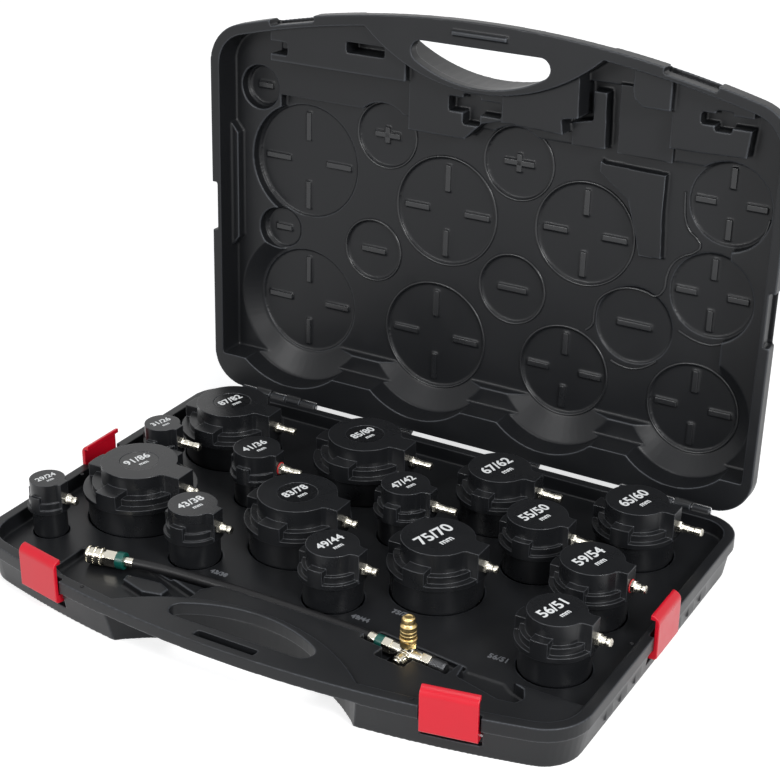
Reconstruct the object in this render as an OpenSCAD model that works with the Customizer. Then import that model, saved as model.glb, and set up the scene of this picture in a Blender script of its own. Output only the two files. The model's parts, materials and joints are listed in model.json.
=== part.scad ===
// Leak tester kit for charge air pipes: a moulded carry case with a tray of stepped hose adapters,
// each with an air nipple, and a test hose with a coupler and a relief valve.
// Frame: +X right along the handle edge, +Y from the handle to the hinge, +Z up.
// The origin is the centre of the base's underside. Lengths are in millimetres, angles in degrees.

/* [Case] */
// Width of the case from side to side
case_w = 550; // [540:1:570]
// Reach of the bowed front edge, ahead of the origin
case_front = 187; // [185:1:200]
// Reach of the straight back edge, behind the origin
case_back = 198.2; // [197:0.1:199]
// Radius of the bowed front edge
bow_r = 967; // [900:1:1100]
// Radius of the two front corners
front_corner_r = 40; // [30:1:44]
// Radius of the two back corners
back_corner_r = 34; // [25:1:40]
// Height of the base, from its underside to its rim
base_h = 38; // [37:1:42]
// Height of the lid, from its rim to its top
lid_h = 50; // [49:1:60]
// Width of the rim, from the outer edge to the hollow
rim_w = 10; // [9.5:0.1:10.5]
// Height of the thick band along each rim
band_h = 12; // [11:0.5:13]
// Step inwards from the band to the side wall
wall_inset = 2.5; // [2:0.1:3]
// Step inwards from the band to the edge of the base's underside
foot_inset = 7; // [5:0.5:9]
// Height of the thick band along the lid's rim
lid_band_h = 14; // [13.5:0.5:15]
// Step inwards from the band to the edge of the lid's top
lid_inset = 22; // [18:0.5:22]
// Ledge where the lid's wall meets its band
lid_ledge = 0.5; // [0.4:0.1:1]
// Step inwards from the band to the grip ribs
grip_inset = 4; // [3:0.5:5]
// Height of the grip ribs on the lid
lid_grip_h = 8; // [6:0.5:9]
// Width of a grip rib on the side walls
grip_w = 13; // [8:1:16]
// Distance between grip ribs
grip_pitch = 27; // [20:1:30]
// Gap between the two rims when the case is shut
seam = 0.4; // [0.3:0.1:0.8]

/* [Handle] */
// Width of the hand hole
hole_w = 130; // [120:1:134]
// Distance from the hand hole's straight edge to the front edge
grip_bar = 22; // [20:1:26]
// Depth of the hand hole, front to back
hole_depth = 33; // [32:1:34]
// Wall between the hand hole and the tray
hole_wall = 5; // [5:0.5:7]
// Radius of the hand hole's ends
hole_end_r = 9; // [8:0.5:10]
// Height of the bar that the hand grips
handle_h = 11.5; // [10:0.5:11.5]
// Radius of the ridge that the hand hole makes in the tray
ridge_r = 165; // [155:1:175]
// Wall between the tray and the arch under the handle
arch_wall = 3; // [2.5:0.5:3.5]
// Length of the tongue on the lid's handle
tongue_l = 52; // [40:1:60]
// Thickness of the tongue
tongue_t = 4; // [3:0.5:5]
// Height of the tongue
tongue_h = 3; // [2:0.5:4]
// Play around the tongue in its slot
tongue_play = 1.2; // [0.8:0.1:2]
// Depth of the slot for the tongue
tongue_slot = 8; // [6:0.5:9]

/* [Tray] */
// Depth of the tray below the rim
tray_depth = 13; // [11:0.5:14]
// Thickness of the case under the adapter pockets
pocket_floor = 8; // [6:0.5:9]
// Play around an adapter in its pocket
pocket_play = 0.6; // [0.4:0.1:1]
// Depth of the front land below the rim
land_down = 3.5; // [3:0.5:4.5]
// Depth of the coupler's pocket below the rim
coupler_down = 19.5; // [19.5:0.5:21]
// Depth of the empty spare recess below the rim
spare_down = 14; // [11:0.5:16]

/* [Hinge] */
// Distance of the hinge axis behind the back edge
hinge_back = 1.8; // [1.7:0.1:2.1]
// Distance of the first knuckle from the middle of the case
hinge_x = 157; // [150:1:165]
// Pitch of the knuckles
knuckle_w = 17; // [14:0.5:18]
// Knuckles in each hinge
knuckle_n = 5; // [3:2:5]
// Gap between two knuckles
knuckle_gap = 0.5; // [0.3:0.1:0.8]
// Radius of a knuckle
knuckle_r = 4.2; // [4:0.1:4.4]
// Radius of the hinge pins
hinge_pin_r = 1.6; // [1.4:0.1:1.8]
// How far the lid stands open
lid_open = 92; // [90:1:95]
// Distance of the rests for the open lid from the middle of the case
rest_x = 66; // [50:1:90]
// Width of a rest
rest_w = 24; // [16:1:30]
// Reach of a rest behind the hinge axis
rest_l = 8; // [6:0.5:9]

/* [Latches] */
// Width of a latch
latch_w = 44; // [36:1:48]
// Thickness of a latch's plate
latch_t = 3.4; // [3:0.1:3.6]
// How far a latch stands proud of the band
latch_proud = 2.2; // [1.5:0.1:2.5]
// Distance of the front latches from the middle of the case
front_latch_x = 187; // [180:1:195]
// Place of the side latches from front to back
side_latch_y = 19; // [10:1:30]
// Depth of a latch's pivot behind the band's face
pivot_in = 6.5; // [6:0.1:7]
// Depth of a latch's pivot below the rim
pivot_down = 18; // [17:0.5:19]
// Radius of the bead around the pivot
bead_r = 3.5; // [3.2:0.1:3.8]
// Radius of the latch pins
latch_pin_r = 1.5; // [1.2:0.1:1.8]
// Height of a latch's lip above the rim
lip_up = 13; // [12:0.5:13.5]
// Thickness of the lip
lip_t = 4; // [3:0.1:4]
// Reach of the lip behind the band's face
lip_in = 5; // [4.5:0.1:5.2]
// Angle that a latch swings inwards to hook the lid
hook_angle = 6; // [5:0.5:6.5]

/* [Adapters] */
// Height of an adapter
adapter_h = 66.5; // [65:0.5:67]
// Height of an adapter's collar above its end
collar_z = 40; // [38:0.5:42]
// Thickness of the collar
collar_t = 4; // [3:0.5:5]
// Height of the step between the two hose sizes
step_z = 17; // [14:0.5:20]
// Step inwards from the collar to the large hose size
large_step = 3.5; // [2.5:0.1:4]
// Step inwards from the large to the small hose size
small_step = 2.5; // [2:0.1:3]
// Height of the shoulder above the collar
shoulder_h = 6; // [4:0.5:8]
// Distance from the cap's top down to the lugs
lug_down = 11; // [9:0.5:13]
// Radius of the hollow corners between the cap and the boss
boss_flare = 6; // [4:0.5:7]
// Radius of the label recess in a large cap
label_r = 17; // [10:0.5:18]
// Depth of the label recess
label_depth = 0.8; // [0.5:0.1:1.2]

/* [Nipples] */
// Depth of a nipple's axis below the cap's top
nipple_down = 14.5; // [13.5:0.5:16.5]
// Radius of a nipple's thread
thread_r = 3; // [2.5:0.1:3.5]
// Length of a nipple's thread
thread_l = 7; // [5:0.5:9]
// Radius of a nipple's hexagon, over its corners
hex_r = 5.2; // [4.6:0.1:5.5]
// Thickness of a nipple's hexagon
hex_l = 4; // [3:0.5:5]
// Length of a long nipple outside its hexagon
long_tail = 18; // [14:1:20]
// Length of a short nipple outside its hexagon
short_tail = 9; // [6:1:11]
// Radius of a nipple's tail
tail_r = 3.6; // [3:0.1:4]

/* [Hose] */
// Diameter of the hose
hose_d = 9; // [8:0.5:9.5]
// How far the hose is sunk into the tray's floor
hose_sink = 3; // [2.5:0.1:3.2]
// Room beside the hose in its groove
groove_play = 1.2; // [0.8:0.1:1.6]
// Radius of the coupler's sleeve
sleeve_r = 7.5; // [7:0.1:8]
// Length of the coupler's sleeve
sleeve_l = 15; // [12:0.5:18]
// Distance that the sleeve slides
sleeve_travel = 2.4; // [1.5:0.1:3]
// Length of the coupler's hexagon
coupler_hex_l = 10; // [8:0.5:12]
// Length of a coloured ring
ring_l = 7; // [5:0.5:8]
// Length of the coupler's tail
coupler_tail_l = 8; // [6:0.5:10]
// Radius of the metal ferrule on the hose
ferrule_r = 5.4; // [5.2:0.1:6]
// Length of the ferrule
ferrule_l = 7; // [5:0.5:9]

/* [Relief valve] */
// Radius of the cross fitting's arms
cross_r = 5.5; // [5:0.1:6]
// Length of the cross fitting
cross_l = 28; // [24:0.5:32]
// Radius of the nuts, over their corners
nut_r = 6.5; // [6.2:0.1:6.8]
// Length of a nut
nut_l = 8; // [6:0.5:9]
// Length of the end plug
plug_l = 13; // [10:0.5:16]
// Height of the relief valve's body above the cross fitting's axis
relief_h = 22; // [20:0.5:24]
// Height of the relief valve's cap
relief_cap_h = 11; // [9:0.5:12]
// Radius of the relief valve
relief_r = 7; // [6:0.1:7.5]
// Radius of the relief valve's neck
relief_neck_r = 4; // [3.5:0.1:4.5]
// Radius of the bleed knob
knob_r = 4.5; // [4:0.1:5]
// Length of the bleed knob
knob_l = 9; // [7:0.5:11]

/* [Lid] */
// Depth of the lid's walls before they draw in
lid_wall_depth = 27.5; // [27.5:0.5:28]
// Depth of the lid's floor
lid_floor = 37; // [36.5:0.5:38]
// Depth of a round recess in the lid's floor
disc_depth = 1.8; // [1.6:0.1:2.2]
// Room around a large adapter's collar in its round recess
disc_room = 4; // [3:0.5:5]
// Width of the ledge along the lid's back edge
back_ledge = 31; // [28:1:33]
// Wall between a scallop and the lid's back edge
scallop_wall = 13; // [12:0.5:14]
// Height of the bars in the round recesses
bar_h = 1.5; // [1:0.1:1.5]
// Width of the bars in the round recesses
bar_w = 5; // [4:0.5:6]

/* [Fits] */
// Play of a pin in its bore
fit = 0.05; // [0.02:0.01:0.09]
// Gap between a loose piece and what it rests on
rest_gap = 0.3; // [0.2:0.05:0.4]
// Room around a latch in its recess
latch_play = 1.2; // [0.8:0.1:1.6]

/* [Hidden] */
$fn = 72;
// Overlap that joins two solids of one piece
bite = 1;
// Facets of the wide bowed edge
bow_fn = 360;

// Width of the case that the places in the tray and the lid were laid out for
plan_w = 550;
wide = case_w / plan_w;
// Distance of the first knuckle from the middle, at the case's own width
hinge_at = hinge_x * wide;
// Height of a nipple's axis above the adapter's end
nipple_z = adapter_h - nipple_down;
// Adapters: place from side to side, place from front to back, collar diameter, cap diameter
adapters = [
    [-190, 109, 94, 65],
    [-218, 40, 38, 32],
    [-119, 44, 48, 41],
    [-51, 114, 92, 65],
    [80, 119, 74, 54],
    [203, 126, 72, 52],
    [25, 53, 54, 41],
    [143, 62, 62, 50],
    [-191, -29, 98, 66],
    [-238, -94, 36, 30],
    [-107, -67, 50, 41],
    [-44, -7, 90, 67],
    [25, -63, 56, 43],
    [91, -11, 82, 60],
    [210, 21, 66, 51],
    [218, -60, 63, 46]
];
adapter_n = len(adapters);
// Caps at least this wide have a label recess
large_cap = 64;
// Collars smaller than this have no room around them in the lid
small_collar = 20;
// Recesses at least this wide have four bars
four_bar_r = 35.2;
// Adapters whose recesses have a cross instead of one bar
cross_bars = [10, 12];
// Lengths and middles of the bars, as shares of a recess's radius
four_bar = 0.5;
four_bar_at = 0.62;
one_bar = 0.9;
short_bar = 0.5;
// Width of a lug, as a share of the cap's radius
lug_share = 0.62;
// Adapters along the back edge, whose recesses run out in scallops
back_row = [0, 3, 4, 5];
// Adapters that carry a long nipple come first in the list
long_n = 8;

// Hose route, from the coupler's tail to the ferrule
hose_path = spread([
    [-141.2, -105.1], [-129.2, -103], [-115.1, -100.9], [-98, -99.3], [-78, -98.3], [-52.9, -97.7],
    [-22.7, -97.4], [12.4, -97.3], [42.5, -97.5], [59.6, -98], [71.6, -98.9], [81.7, -100.1]
]);
hose_sides = 10;

rim_z = base_h;
tray_z = rim_z - tray_depth;
lid_z = rim_z + seam;
lid_top = lid_z + lid_h;
half_w = case_w / 2;
hinge_y = case_back + hinge_back;
bow_y = bow_r - case_front;
corner_x = half_w - front_corner_r;
corner_y = bow_y - sqrt(pow(bow_r - front_corner_r, 2) - pow(corner_x, 2));
hole_front_y = -case_front + grip_bar;
hole_back_y = hole_front_y + hole_depth;
ridge_y = hole_back_y + hole_wall;
// Place of the hand hole's end circles, and the arc that touches them
hole_end_x = hole_w / 2 - hole_end_r;
hole_rise = hole_depth - 2 * hole_end_r;
hole_r = (pow(hole_end_x, 2) + pow(hole_rise, 2)) / (2 * hole_rise) + hole_end_r;
// Share of the arc, from its middle, to where it touches an end circle
hole_touch = hole_r / (hole_r - hole_end_r);
hole_touch_x = hole_end_x * hole_touch;
hole_mid_y = hole_back_y - hole_r;
hole_touch_y = hole_mid_y + (hole_front_y + hole_end_r - hole_mid_y) * hole_touch;
tongue_y = (hole_front_y - case_front) / 2;
land_z = rim_z - land_down;
front_latch_turn = asin(front_latch_x * wide / bow_r);
pivot_z = rim_z - pivot_down;
lip_z = rim_z + lip_up;
recess_w = latch_w + 2 * latch_play;
pin_end = 4;
latch_pin_l = recess_w + 2 * pin_end;
catch_room = 0.5;
lip_swing = (lip_up + pivot_down) * sin(hook_angle);
hose_r = hose_d / 2;
hose_z = tray_z + rest_gap + hose_r - hose_sink;
start_run = hose_path[1] - hose_path[0];
last = len(hose_path) - 1;
end_run = hose_path[last] - hose_path[last - 1];
coupler_turn = atan2(start_run[1], start_run[0]);
valve_turn = atan2(end_run[1], end_run[0]);
hinge_l = knuckle_n * knuckle_w;
latch_places = ["front_left", "front_right", "left", "right"];

// Places along the coupler, from the hose's end backwards
sleeve_wall = 1.9;
ring_x = -coupler_tail_l;
coupler_hex_x = ring_x - ring_l;
sleeve_stop_x = coupler_hex_x - coupler_hex_l;
sleeve_x = sleeve_stop_x - sleeve_travel;
coupler_x = sleeve_x - sleeve_l;
coupler_core_r = sleeve_r - sleeve_wall;
coupler_tail_r = hose_r - rest_gap;

// Places along the relief valve's line, from the hose's end onwards
ferrule_ring_x = ferrule_l;
hose_nut_x = ferrule_ring_x + ring_l;
cross_x = hose_nut_x + nut_l;
cross_mid = cross_x + cross_l / 2;
end_nut_x = cross_x + cross_l;
end_plug_x = end_nut_x + nut_l;
seat_rise = 2;
relief_seat = cross_r + seat_rise;
knob_stub_r = 2.2;
knob_stub_l = 5;
neck_l = 7;
// Bevel on turned edges
ease = 1;

// Colours
case_black = "#2b2c2e";
adapter_black = "#1d1e20";
latch_red = "#d81524";
nickel = "#c9c6ba";
steel = "#9a9b9d";
brass = "#c39a45";
ring_green = "#0f5a52";
hose_black = "#151517";
plug_black = "#222325";

function spread(points) = [for (p = points) [p[0] * wide, p[1]]];
function two_digits(n) = n < 10 ? str("0", n) : str(n);
function adapter_name(i) = str("adapter_", two_digits(i + 1));
function nipple_name(i) = str("nipple_", two_digits(i + 1));
function adapter_x(i) = adapters[i][0] * wide;
function adapter_y(i) = adapters[i][1];
function collar_r(i) = adapters[i][2] / 2;
function cap_r(i) = adapters[i][3] / 2;
function large_r(i) = collar_r(i) - large_step;
function small_r(i) = large_r(i) - small_step;
function shoulder_r(i) = (collar_r(i) + cap_r(i)) / 2;
function lug_w(i) = lug_share * cap_r(i);
function disc_r(i) = collar_r(i) + (collar_r(i) > small_collar ? disc_room : 0);
function scallop_r(i) = case_back - scallop_wall - adapter_y(i);
function touch_x(inset) = corner_x / (bow_r - front_corner_r) * (bow_r - inset);

// The case's outline, drawn in by an inset: straight sides and back, bowed front, round corners
module outline(inset) {
    side = half_w - inset;
    back_x = half_w - back_corner_r;
    back_y = case_back - back_corner_r;
    translate([-side, corner_y])
        square([2 * side, back_y - corner_y]);
    translate([-back_x, corner_y])
        square([2 * back_x, case_back - inset - corner_y]);
    for (s = [-1, 1]) {
        translate([s * back_x, back_y])
            circle(back_corner_r - inset);
        translate([s * corner_x, corner_y])
            circle(front_corner_r - inset);
    }
    intersection() {
        translate([0, bow_y])
            circle(bow_r - inset, $fn = bow_fn);
        translate([-touch_x(inset), -case_front])
            square([2 * touch_x(inset), case_front + corner_y + bite]);
    }
}

// The hand hole: straight along the grip bar, curved on the tray side, with round ends
module hand_hole() {
    intersection() {
        translate([0, hole_mid_y])
            circle(hole_r);
        polygon([
            [-hole_end_x, hole_front_y], [hole_end_x, hole_front_y], [hole_touch_x, hole_touch_y],
            [hole_touch_x, hole_back_y + bite], [-hole_touch_x, hole_back_y + bite],
            [-hole_touch_x, hole_touch_y]
        ]);
    }
    for (s = [-1, 1])
        translate([s * hole_end_x, hole_front_y + hole_end_r])
            circle(hole_end_r);
}

// The ridge that the hand hole makes along the front of the hollow
module ridge() {
    translate([0, ridge_y - ridge_r])
        circle(ridge_r);
}

// The case's outline as a solid that is drawn in by one inset at its foot and another at its top
module tapered(h, low, high) {
    back_x = half_w - back_corner_r;
    back_y = case_back - back_corner_r;
    fan = (bow_y + case_front + bite) / (bow_y - corner_y);
    translate([0, back_y, 0])
        rotate([90, 0, 0])
            linear_extrude(back_y - corner_y)
                polygon([[low - half_w, 0], [half_w - low, 0], [half_w - high, h], [high - half_w, h]]);
    translate([-back_x, 0, 0])
        rotate([90, 0, 90])
            linear_extrude(2 * back_x)
                polygon([[corner_y, 0], [case_back - low, 0], [case_back - high, h], [corner_y, h]]);
    for (s = [-1, 1]) {
        translate([s * back_x, back_y, 0])
            cylinder(r1 = back_corner_r - low, r2 = back_corner_r - high, h = h);
        translate([s * corner_x, corner_y, 0])
            cylinder(r1 = front_corner_r - low, r2 = front_corner_r - high, h = h);
    }
    intersection() {
        translate([0, bow_y, 0])
            cylinder(r1 = bow_r - low, r2 = bow_r - high, h = h, $fn = bow_fn);
        linear_extrude(h)
            polygon([
                [corner_x, corner_y + bite], [corner_x, corner_y], [corner_x * fan, -case_front - bite],
                [-corner_x * fan, -case_front - bite], [-corner_x, corner_y], [-corner_x, corner_y + bite]
            ]);
    }
}

// One half of the case, solid, from its outer face at 0 to its rim at height h
module half_body(h, band, low, high) {
    lap = 0.5;
    lean = (low - high) / (h - band);
    tapered(h - band + lap, low, high - lap * lean);
    translate([0, 0, h - band])
        linear_extrude(band)
            outline(0);
}

// Grip ribs along both side walls, on either side of the latches, below a height
module grip_ribs(top, rib_h, rib_t) {
    clear = recess_w / 2 + grip_w;
    for (s = [-1, 1])
        for (k = [-3:4])
            let (y = side_latch_y + (k - 0.5) * grip_pitch)
                if (abs(y - side_latch_y) > clear)
                    translate([s * (half_w - grip_inset - rib_t / 2), y, top - rib_h / 2])
                        cube([rib_t, grip_w, rib_h], center = true);
}

// Cuts the handle's hole and the arch in front of the ridge out of half a case of height h
module handle_cut(h) {
    translate([0, 0, -bite])
        linear_extrude(h + 2 * bite)
            hand_hole();
    translate([0, ridge_y - ridge_r, -bite])
        cylinder(r = ridge_r - arch_wall, h = h - handle_h + bite);
}

// Puts a latch's own frame at its place: its face towards -Y, the band's face at 0
module at_latch(place) {
    if (place == "front_left")
        translate([0, bow_y, 0])
            rotate([0, 0, -front_latch_turn])
                translate([0, -bow_r, 0])
                    children();
    if (place == "front_right")
        translate([0, bow_y, 0])
            rotate([0, 0, front_latch_turn])
                translate([0, -bow_r, 0])
                    children();
    if (place == "left")
        translate([-half_w, side_latch_y, 0])
            rotate([0, 0, -90])
                children();
    if (place == "right")
        translate([half_w, side_latch_y, 0])
            rotate([0, 0, 90])
                children();
}

// Room for one latch in the base, with the holes for its pin
module latch_recess() {
    sweep = pivot_in + latch_proud + bite;
    plate_in = latch_t - latch_proud + lip_swing + bite / 2;
    bead_in = pivot_in + bead_r + catch_room;
    bead_top = pivot_z + bead_r + catch_room;
    translate([-recess_w / 2, -bite, pivot_z - sweep])
        cube([recess_w, bead_in + bite, bead_top - pivot_z + sweep]);
    translate([-recess_w / 2, -bite, pivot_z])
        cube([recess_w, plate_in + bite, rim_z - pivot_z + bite]);
    translate([0, pivot_in, pivot_z])
        rotate([0, 90, 0])
            cylinder(r = latch_pin_r + fit, h = latch_pin_l + 2 * fit, center = true);
}

// Room for one latch in the lid: a notch, and a pocket for the lip above the catch
module latch_notch() {
    catch_y = lip_in + catch_room;
    catch_top = lip_z - rest_gap;
    lip_room = lip_in + lip_swing + catch_room;
    translate([-recess_w / 2, -bite, lid_z - bite])
        cube([recess_w, catch_y + bite, catch_top + bite - lid_z]);
    translate([-recess_w / 2, -bite, catch_top - rest_gap])
        cube([recess_w, lip_room + bite, lip_t + 2 * rest_gap + 2 * catch_room]);
}

// A run of hinge knuckles: every second one, starting at the first, on both hinges
module knuckles(first, web_z, web_h) {
    for (s = [0, 1])
        mirror([s, 0, 0])
            for (k = [first:2:knuckle_n - 1])
                translate([hinge_at + k * knuckle_w + knuckle_gap / 2, 0, 0]) {
                    translate([0, hinge_y, rim_z])
                        rotate([0, 90, 0])
                            cylinder(r = knuckle_r, h = knuckle_w - knuckle_gap);
                    translate([0, case_back - rim_w / 2, web_z])
                        cube([knuckle_w - knuckle_gap, hinge_back + rim_w / 2, web_h]);
                }
}

// Room in one half of the case for the other half's knuckles
module knuckle_room(first) {
    for (s = [0, 1])
        mirror([s, 0, 0])
            for (k = [first:2:knuckle_n - 1])
                translate([hinge_at + k * knuckle_w, hinge_y, rim_z])
                    rotate([0, 90, 0])
                        cylinder(r = knuckle_r + rest_gap, h = knuckle_w);
}

// Two rests behind the base, which hold the open lid up
module rests() {
    sweep = hinge_back + seam;
    tilt = rest_l * sin(lid_open - 90);
    top = rim_z + hinge_back - rest_gap - tilt;
    for (s = [-1, 1])
        translate([s * rest_x - rest_w / 2, 0, 0])
            rotate([90, 0, 90])
                linear_extrude(rest_w)
                    polygon([
                        [case_back - bite, rim_z - band_h + bite], [hinge_y + rest_l, rim_z - sweep],
                        [hinge_y + rest_l, top], [hinge_y + sweep, top], [hinge_y + sweep, rim_z - sweep],
                        [case_back - bite, rim_z - sweep]
                    ]);
}

// The bores through both hinges
module hinge_bores() {
    for (s = [0, 1])
        mirror([s, 0, 0])
            translate([hinge_at - bite, hinge_y, rim_z])
                rotate([0, 90, 0])
                    cylinder(r = hinge_pin_r + fit, h = hinge_l + 2 * bite);
}

// The raised land along the front of the tray, from the coupler's pocket to the right wall
module front_land() {
    land_back = -107;
    land_left = -64;
    coupler_side = -119;
    polygon(spread([
        [land_left, -case_front], [land_left, coupler_side], [land_left + rim_w, land_back],
        [plan_w / 2, land_back], [plan_w / 2, -case_front]
    ]));
}

// The groove that the hose lies in
module hose_groove() {
    side = hose_r + groove_play;
    translate([0, 0, hose_z - hose_r - rest_gap])
        linear_extrude(rim_z)
            polygon(concat(
                [for (k = [0:last]) hose_side(k, side)],
                [for (k = [last:-1:0]) hose_side(k, -side)]
            ));
}

// Pockets for the coupler, the relief valve and the bleed knob, and the empty spare recess
module tray_recesses() {
    side_room = 7;
    end_room = 9;
    knob_reach = relief_seat + knob_l + end_room;
    knob_room = 2 * knob_r + 2 * end_room;
    valve_l = end_plug_x + plug_l;
    translate([0, 0, rim_z - coupler_down])
        linear_extrude(rim_z)
            difference() {
                polygon(spread([
                    [-195, -104], [-195, -140], [-177, -148], [-128, -157], [-104, -148], [-78, -134],
                    [-69, -126], [-69, -117], [-96, -108], [-132, -98]
                ]));
                polygon(spread([
                    [-138, -119], [-106, -115], [-95, -120], [-95, -130], [-112, -134], [-136, -127]
                ]));
            }
    at_coupler()
        translate([coupler_x - end_room, -sleeve_r - rest_gap, -sleeve_r - rest_gap])
            cube([-coupler_x + end_room, 2 * (sleeve_r + rest_gap), rim_z]);
    at_valve() {
        translate([0, -nut_r - side_room, -nut_r - rest_gap])
            cube([valve_l + end_room, 2 * (nut_r + side_room), rim_z]);
        translate([cross_mid - knob_room / 2, -knob_reach, -nut_r - knob_r])
            cube([knob_room, knob_reach, rim_z]);
    }
    translate([0, 0, rim_z - spare_down])
        linear_extrude(rim_z)
            polygon(spread([
                [165, -100], [196, -100], [204, -106], [217, -111], [222, -121], [219, -129], [206, -131],
                [168, -121]
            ]));
}

module base_shell() {
    color(case_black)
        difference() {
            union() {
                half_body(base_h, band_h, foot_inset, wall_inset);
                grip_ribs(base_h - band_h + bite, base_h - band_h - foot_inset, foot_inset);
                knuckles(0, rim_z - band_h, band_h);
                rests();
            }
            handle_cut(base_h);
            translate([0, 0, tray_z])
                linear_extrude(rim_z)
                    difference() {
                        outline(rim_w);
                        ridge();
                        front_land();
                    }
            translate([0, 0, land_z])
                linear_extrude(rim_z)
                    difference() {
                        outline(rim_w);
                        ridge();
                    }
            for (i = [0:adapter_n - 1])
                translate([adapter_x(i), adapter_y(i), pocket_floor])
                    cylinder(r = large_r(i) + pocket_play, h = rim_z);
            tray_recesses();
            hose_groove();
            knuckle_room(1);
            for (place = latch_places)
                at_latch(place)
                    latch_recess();
            translate([0, tongue_y, rim_z + (bite - tongue_slot) / 2])
                cube(
                    [tongue_l + 2 * tongue_play, tongue_t + 2 * tongue_play, tongue_slot + bite],
                    center = true
                );
            hinge_bores();
        }
}

// Turns what is drawn in the shut case to the open lid's place
module opened() {
    translate([0, hinge_y, rim_z])
        rotate([-lid_open, 0, 0])
            translate([0, -hinge_y, -rim_z])
                children();
}

// One bar in a round recess: its length, and the middle of it from the recess's centre
module bar(length, middle, turn) {
    rotate([0, 0, turn])
        translate([middle - length / 2, -bar_w / 2, 0])
            cube([length, bar_w, bar_h + bite]);
}

// The bars in the round recess over one adapter
module disc_bars(i) {
    r = disc_r(i);
    if (r > four_bar_r)
        for (turn = [0:90:270])
            bar(four_bar * r, four_bar_at * r, turn);
    else
        bar(one_bar * r, 0, 0);
    for (k = cross_bars)
        if (k == i)
            bar(short_bar * r, 0, 90);
}

// The hollow of the lid, from the rim upwards, before the raised blocks are put back
module lid_hollow() {
    scallop_rise = 4;
    scallop_h = lid_wall_depth - scallop_rise;
    ledge_y = case_back - back_ledge;
    floor_room = 2;
    translate([0, 0, lid_z - bite])
        linear_extrude(lid_wall_depth + bite)
            difference() {
                outline(rim_w);
                translate([-half_w, ledge_y])
                    square([case_w, case_w]);
            }
    translate([0, 0, lid_z])
        linear_extrude(lid_floor) {
            polygon(spread([[-215, -90], [225, -90], [225, 150], [-215, 150]]));
            polygon(spread([[79, -146], [168, -146], [168, -88], [79, -88]]));
        }
    for (i = [0:adapter_n - 1])
        translate([adapter_x(i), adapter_y(i), lid_z]) {
            cylinder(r = disc_r(i) + floor_room, h = lid_floor);
            difference() {
                cylinder(r = disc_r(i), h = lid_floor + disc_depth);
                translate([0, 0, lid_floor + disc_depth - bar_h])
                    disc_bars(i);
            }
        }
    for (i = back_row)
        intersection() {
            translate([adapter_x(i), adapter_y(i), lid_z - bite]) {
                cylinder(r = scallop_r(i), h = scallop_h + bite);
                translate([0, 0, scallop_h + bite])
                    cylinder(r1 = scallop_r(i), r2 = disc_r(i) + floor_room, h = lid_floor - scallop_h);
            }
            translate([0, 0, lid_z - bite])
                linear_extrude(lid_floor + bite)
                    outline(scallop_wall);
        }
}

// A raised block in the lid: a plan outline, from a height above the rim up into the lid
module block(from_h) {
    translate([0, 0, lid_z + from_h])
        linear_extrude(lid_floor + disc_depth + bite - from_h)
            children();
}

// The raised blocks along the lid's handle edge, which hold the hose and the relief valve down,
// and the step along its left wall
module lid_blocks() {
    ledge_h = 6;
    plateau_h = 8;
    hump_h = 14;
    step_h = 18;
    plate_h = 24.5;
    shelf_h = 30;
    shelf_over = 13;
    front_y = -case_front;
    step_x = rim_w - half_w;
    step_w = 8;
    block(0)
        ridge();
    block(ledge_h) {
        polygon(spread([[-213, front_y], [-213, -126], [-73, -126], [-73, front_y]]));
        polygon(spread([
            [136, front_y], [136, -150], [138, -142], [146, -136], [170, -136], [170, front_y]
        ]));
    }
    block(hump_h) {
        polygon(spread([
            [-74, -150], [-74, -82], [-18, -82], [-2, -98], [20, -104], [20, -150]
        ]));
        polygon(spread([
            [168, front_y], [168, -104], [198, -104.5], [234, -106], [236, -127], [240, front_y]
        ]));
    }
    block(plateau_h)
        polygon(spread([[19, -150], [19, -104], [77, -102], [75, -115], [90, -118], [88, front_y]]));
    block(plate_h) {
        polygon(spread([[95, -139], [107, -139], [109, -91], [77.5, -90.5], [77.5, -110], [96, -114.5]]));
        polygon(spread([[118, -148], [169, -148], [169, -89], [119.5, -90]]));
    }
    block(shelf_h)
        difference() {
            polygon(spread([
                [103, -80], [107, -78], [162, -76.5], [162, -45], [164.5, -4], [144, -3], [139, -22],
                [130, -50], [103, -70]
            ]));
            translate([adapter_x(shelf_over), adapter_y(shelf_over)])
                circle(disc_r(shelf_over) + disc_room);
        }
    block(step_h)
        polygon([
            [-half_w, -60], [step_x, -60], [step_x + step_w, -50], [step_x + step_w, 52], [step_x, 62],
            [-half_w, 62]
        ]);
}

// Slots pressed into the raised blocks
module lid_slots() {
    translate([0, 0, lid_z - bite])
        linear_extrude(lid_wall_depth) {
            polygon(spread([[-235, -144], [-195, -144], [-195, -133], [-235, -133]]));
            polygon(spread([[-133, -153], [-95, -153], [-95, -144], [-133, -144]]));
            polygon(spread([
                [-34, -118], [-20, -118], [-20, -122], [-4, -122], [-4, -118], [16, -118], [16, -106],
                [-4, -106], [-4, -96], [-20, -96], [-20, -106], [-34, -106]
            ]));
            polygon(spread([
                [193, -138], [205, -138], [205, -141], [219, -141], [219, -138], [238, -138], [238, -129],
                [219, -129], [219, -125], [205, -125], [205, -129], [193, -129]
            ]));
        }
}

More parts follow.
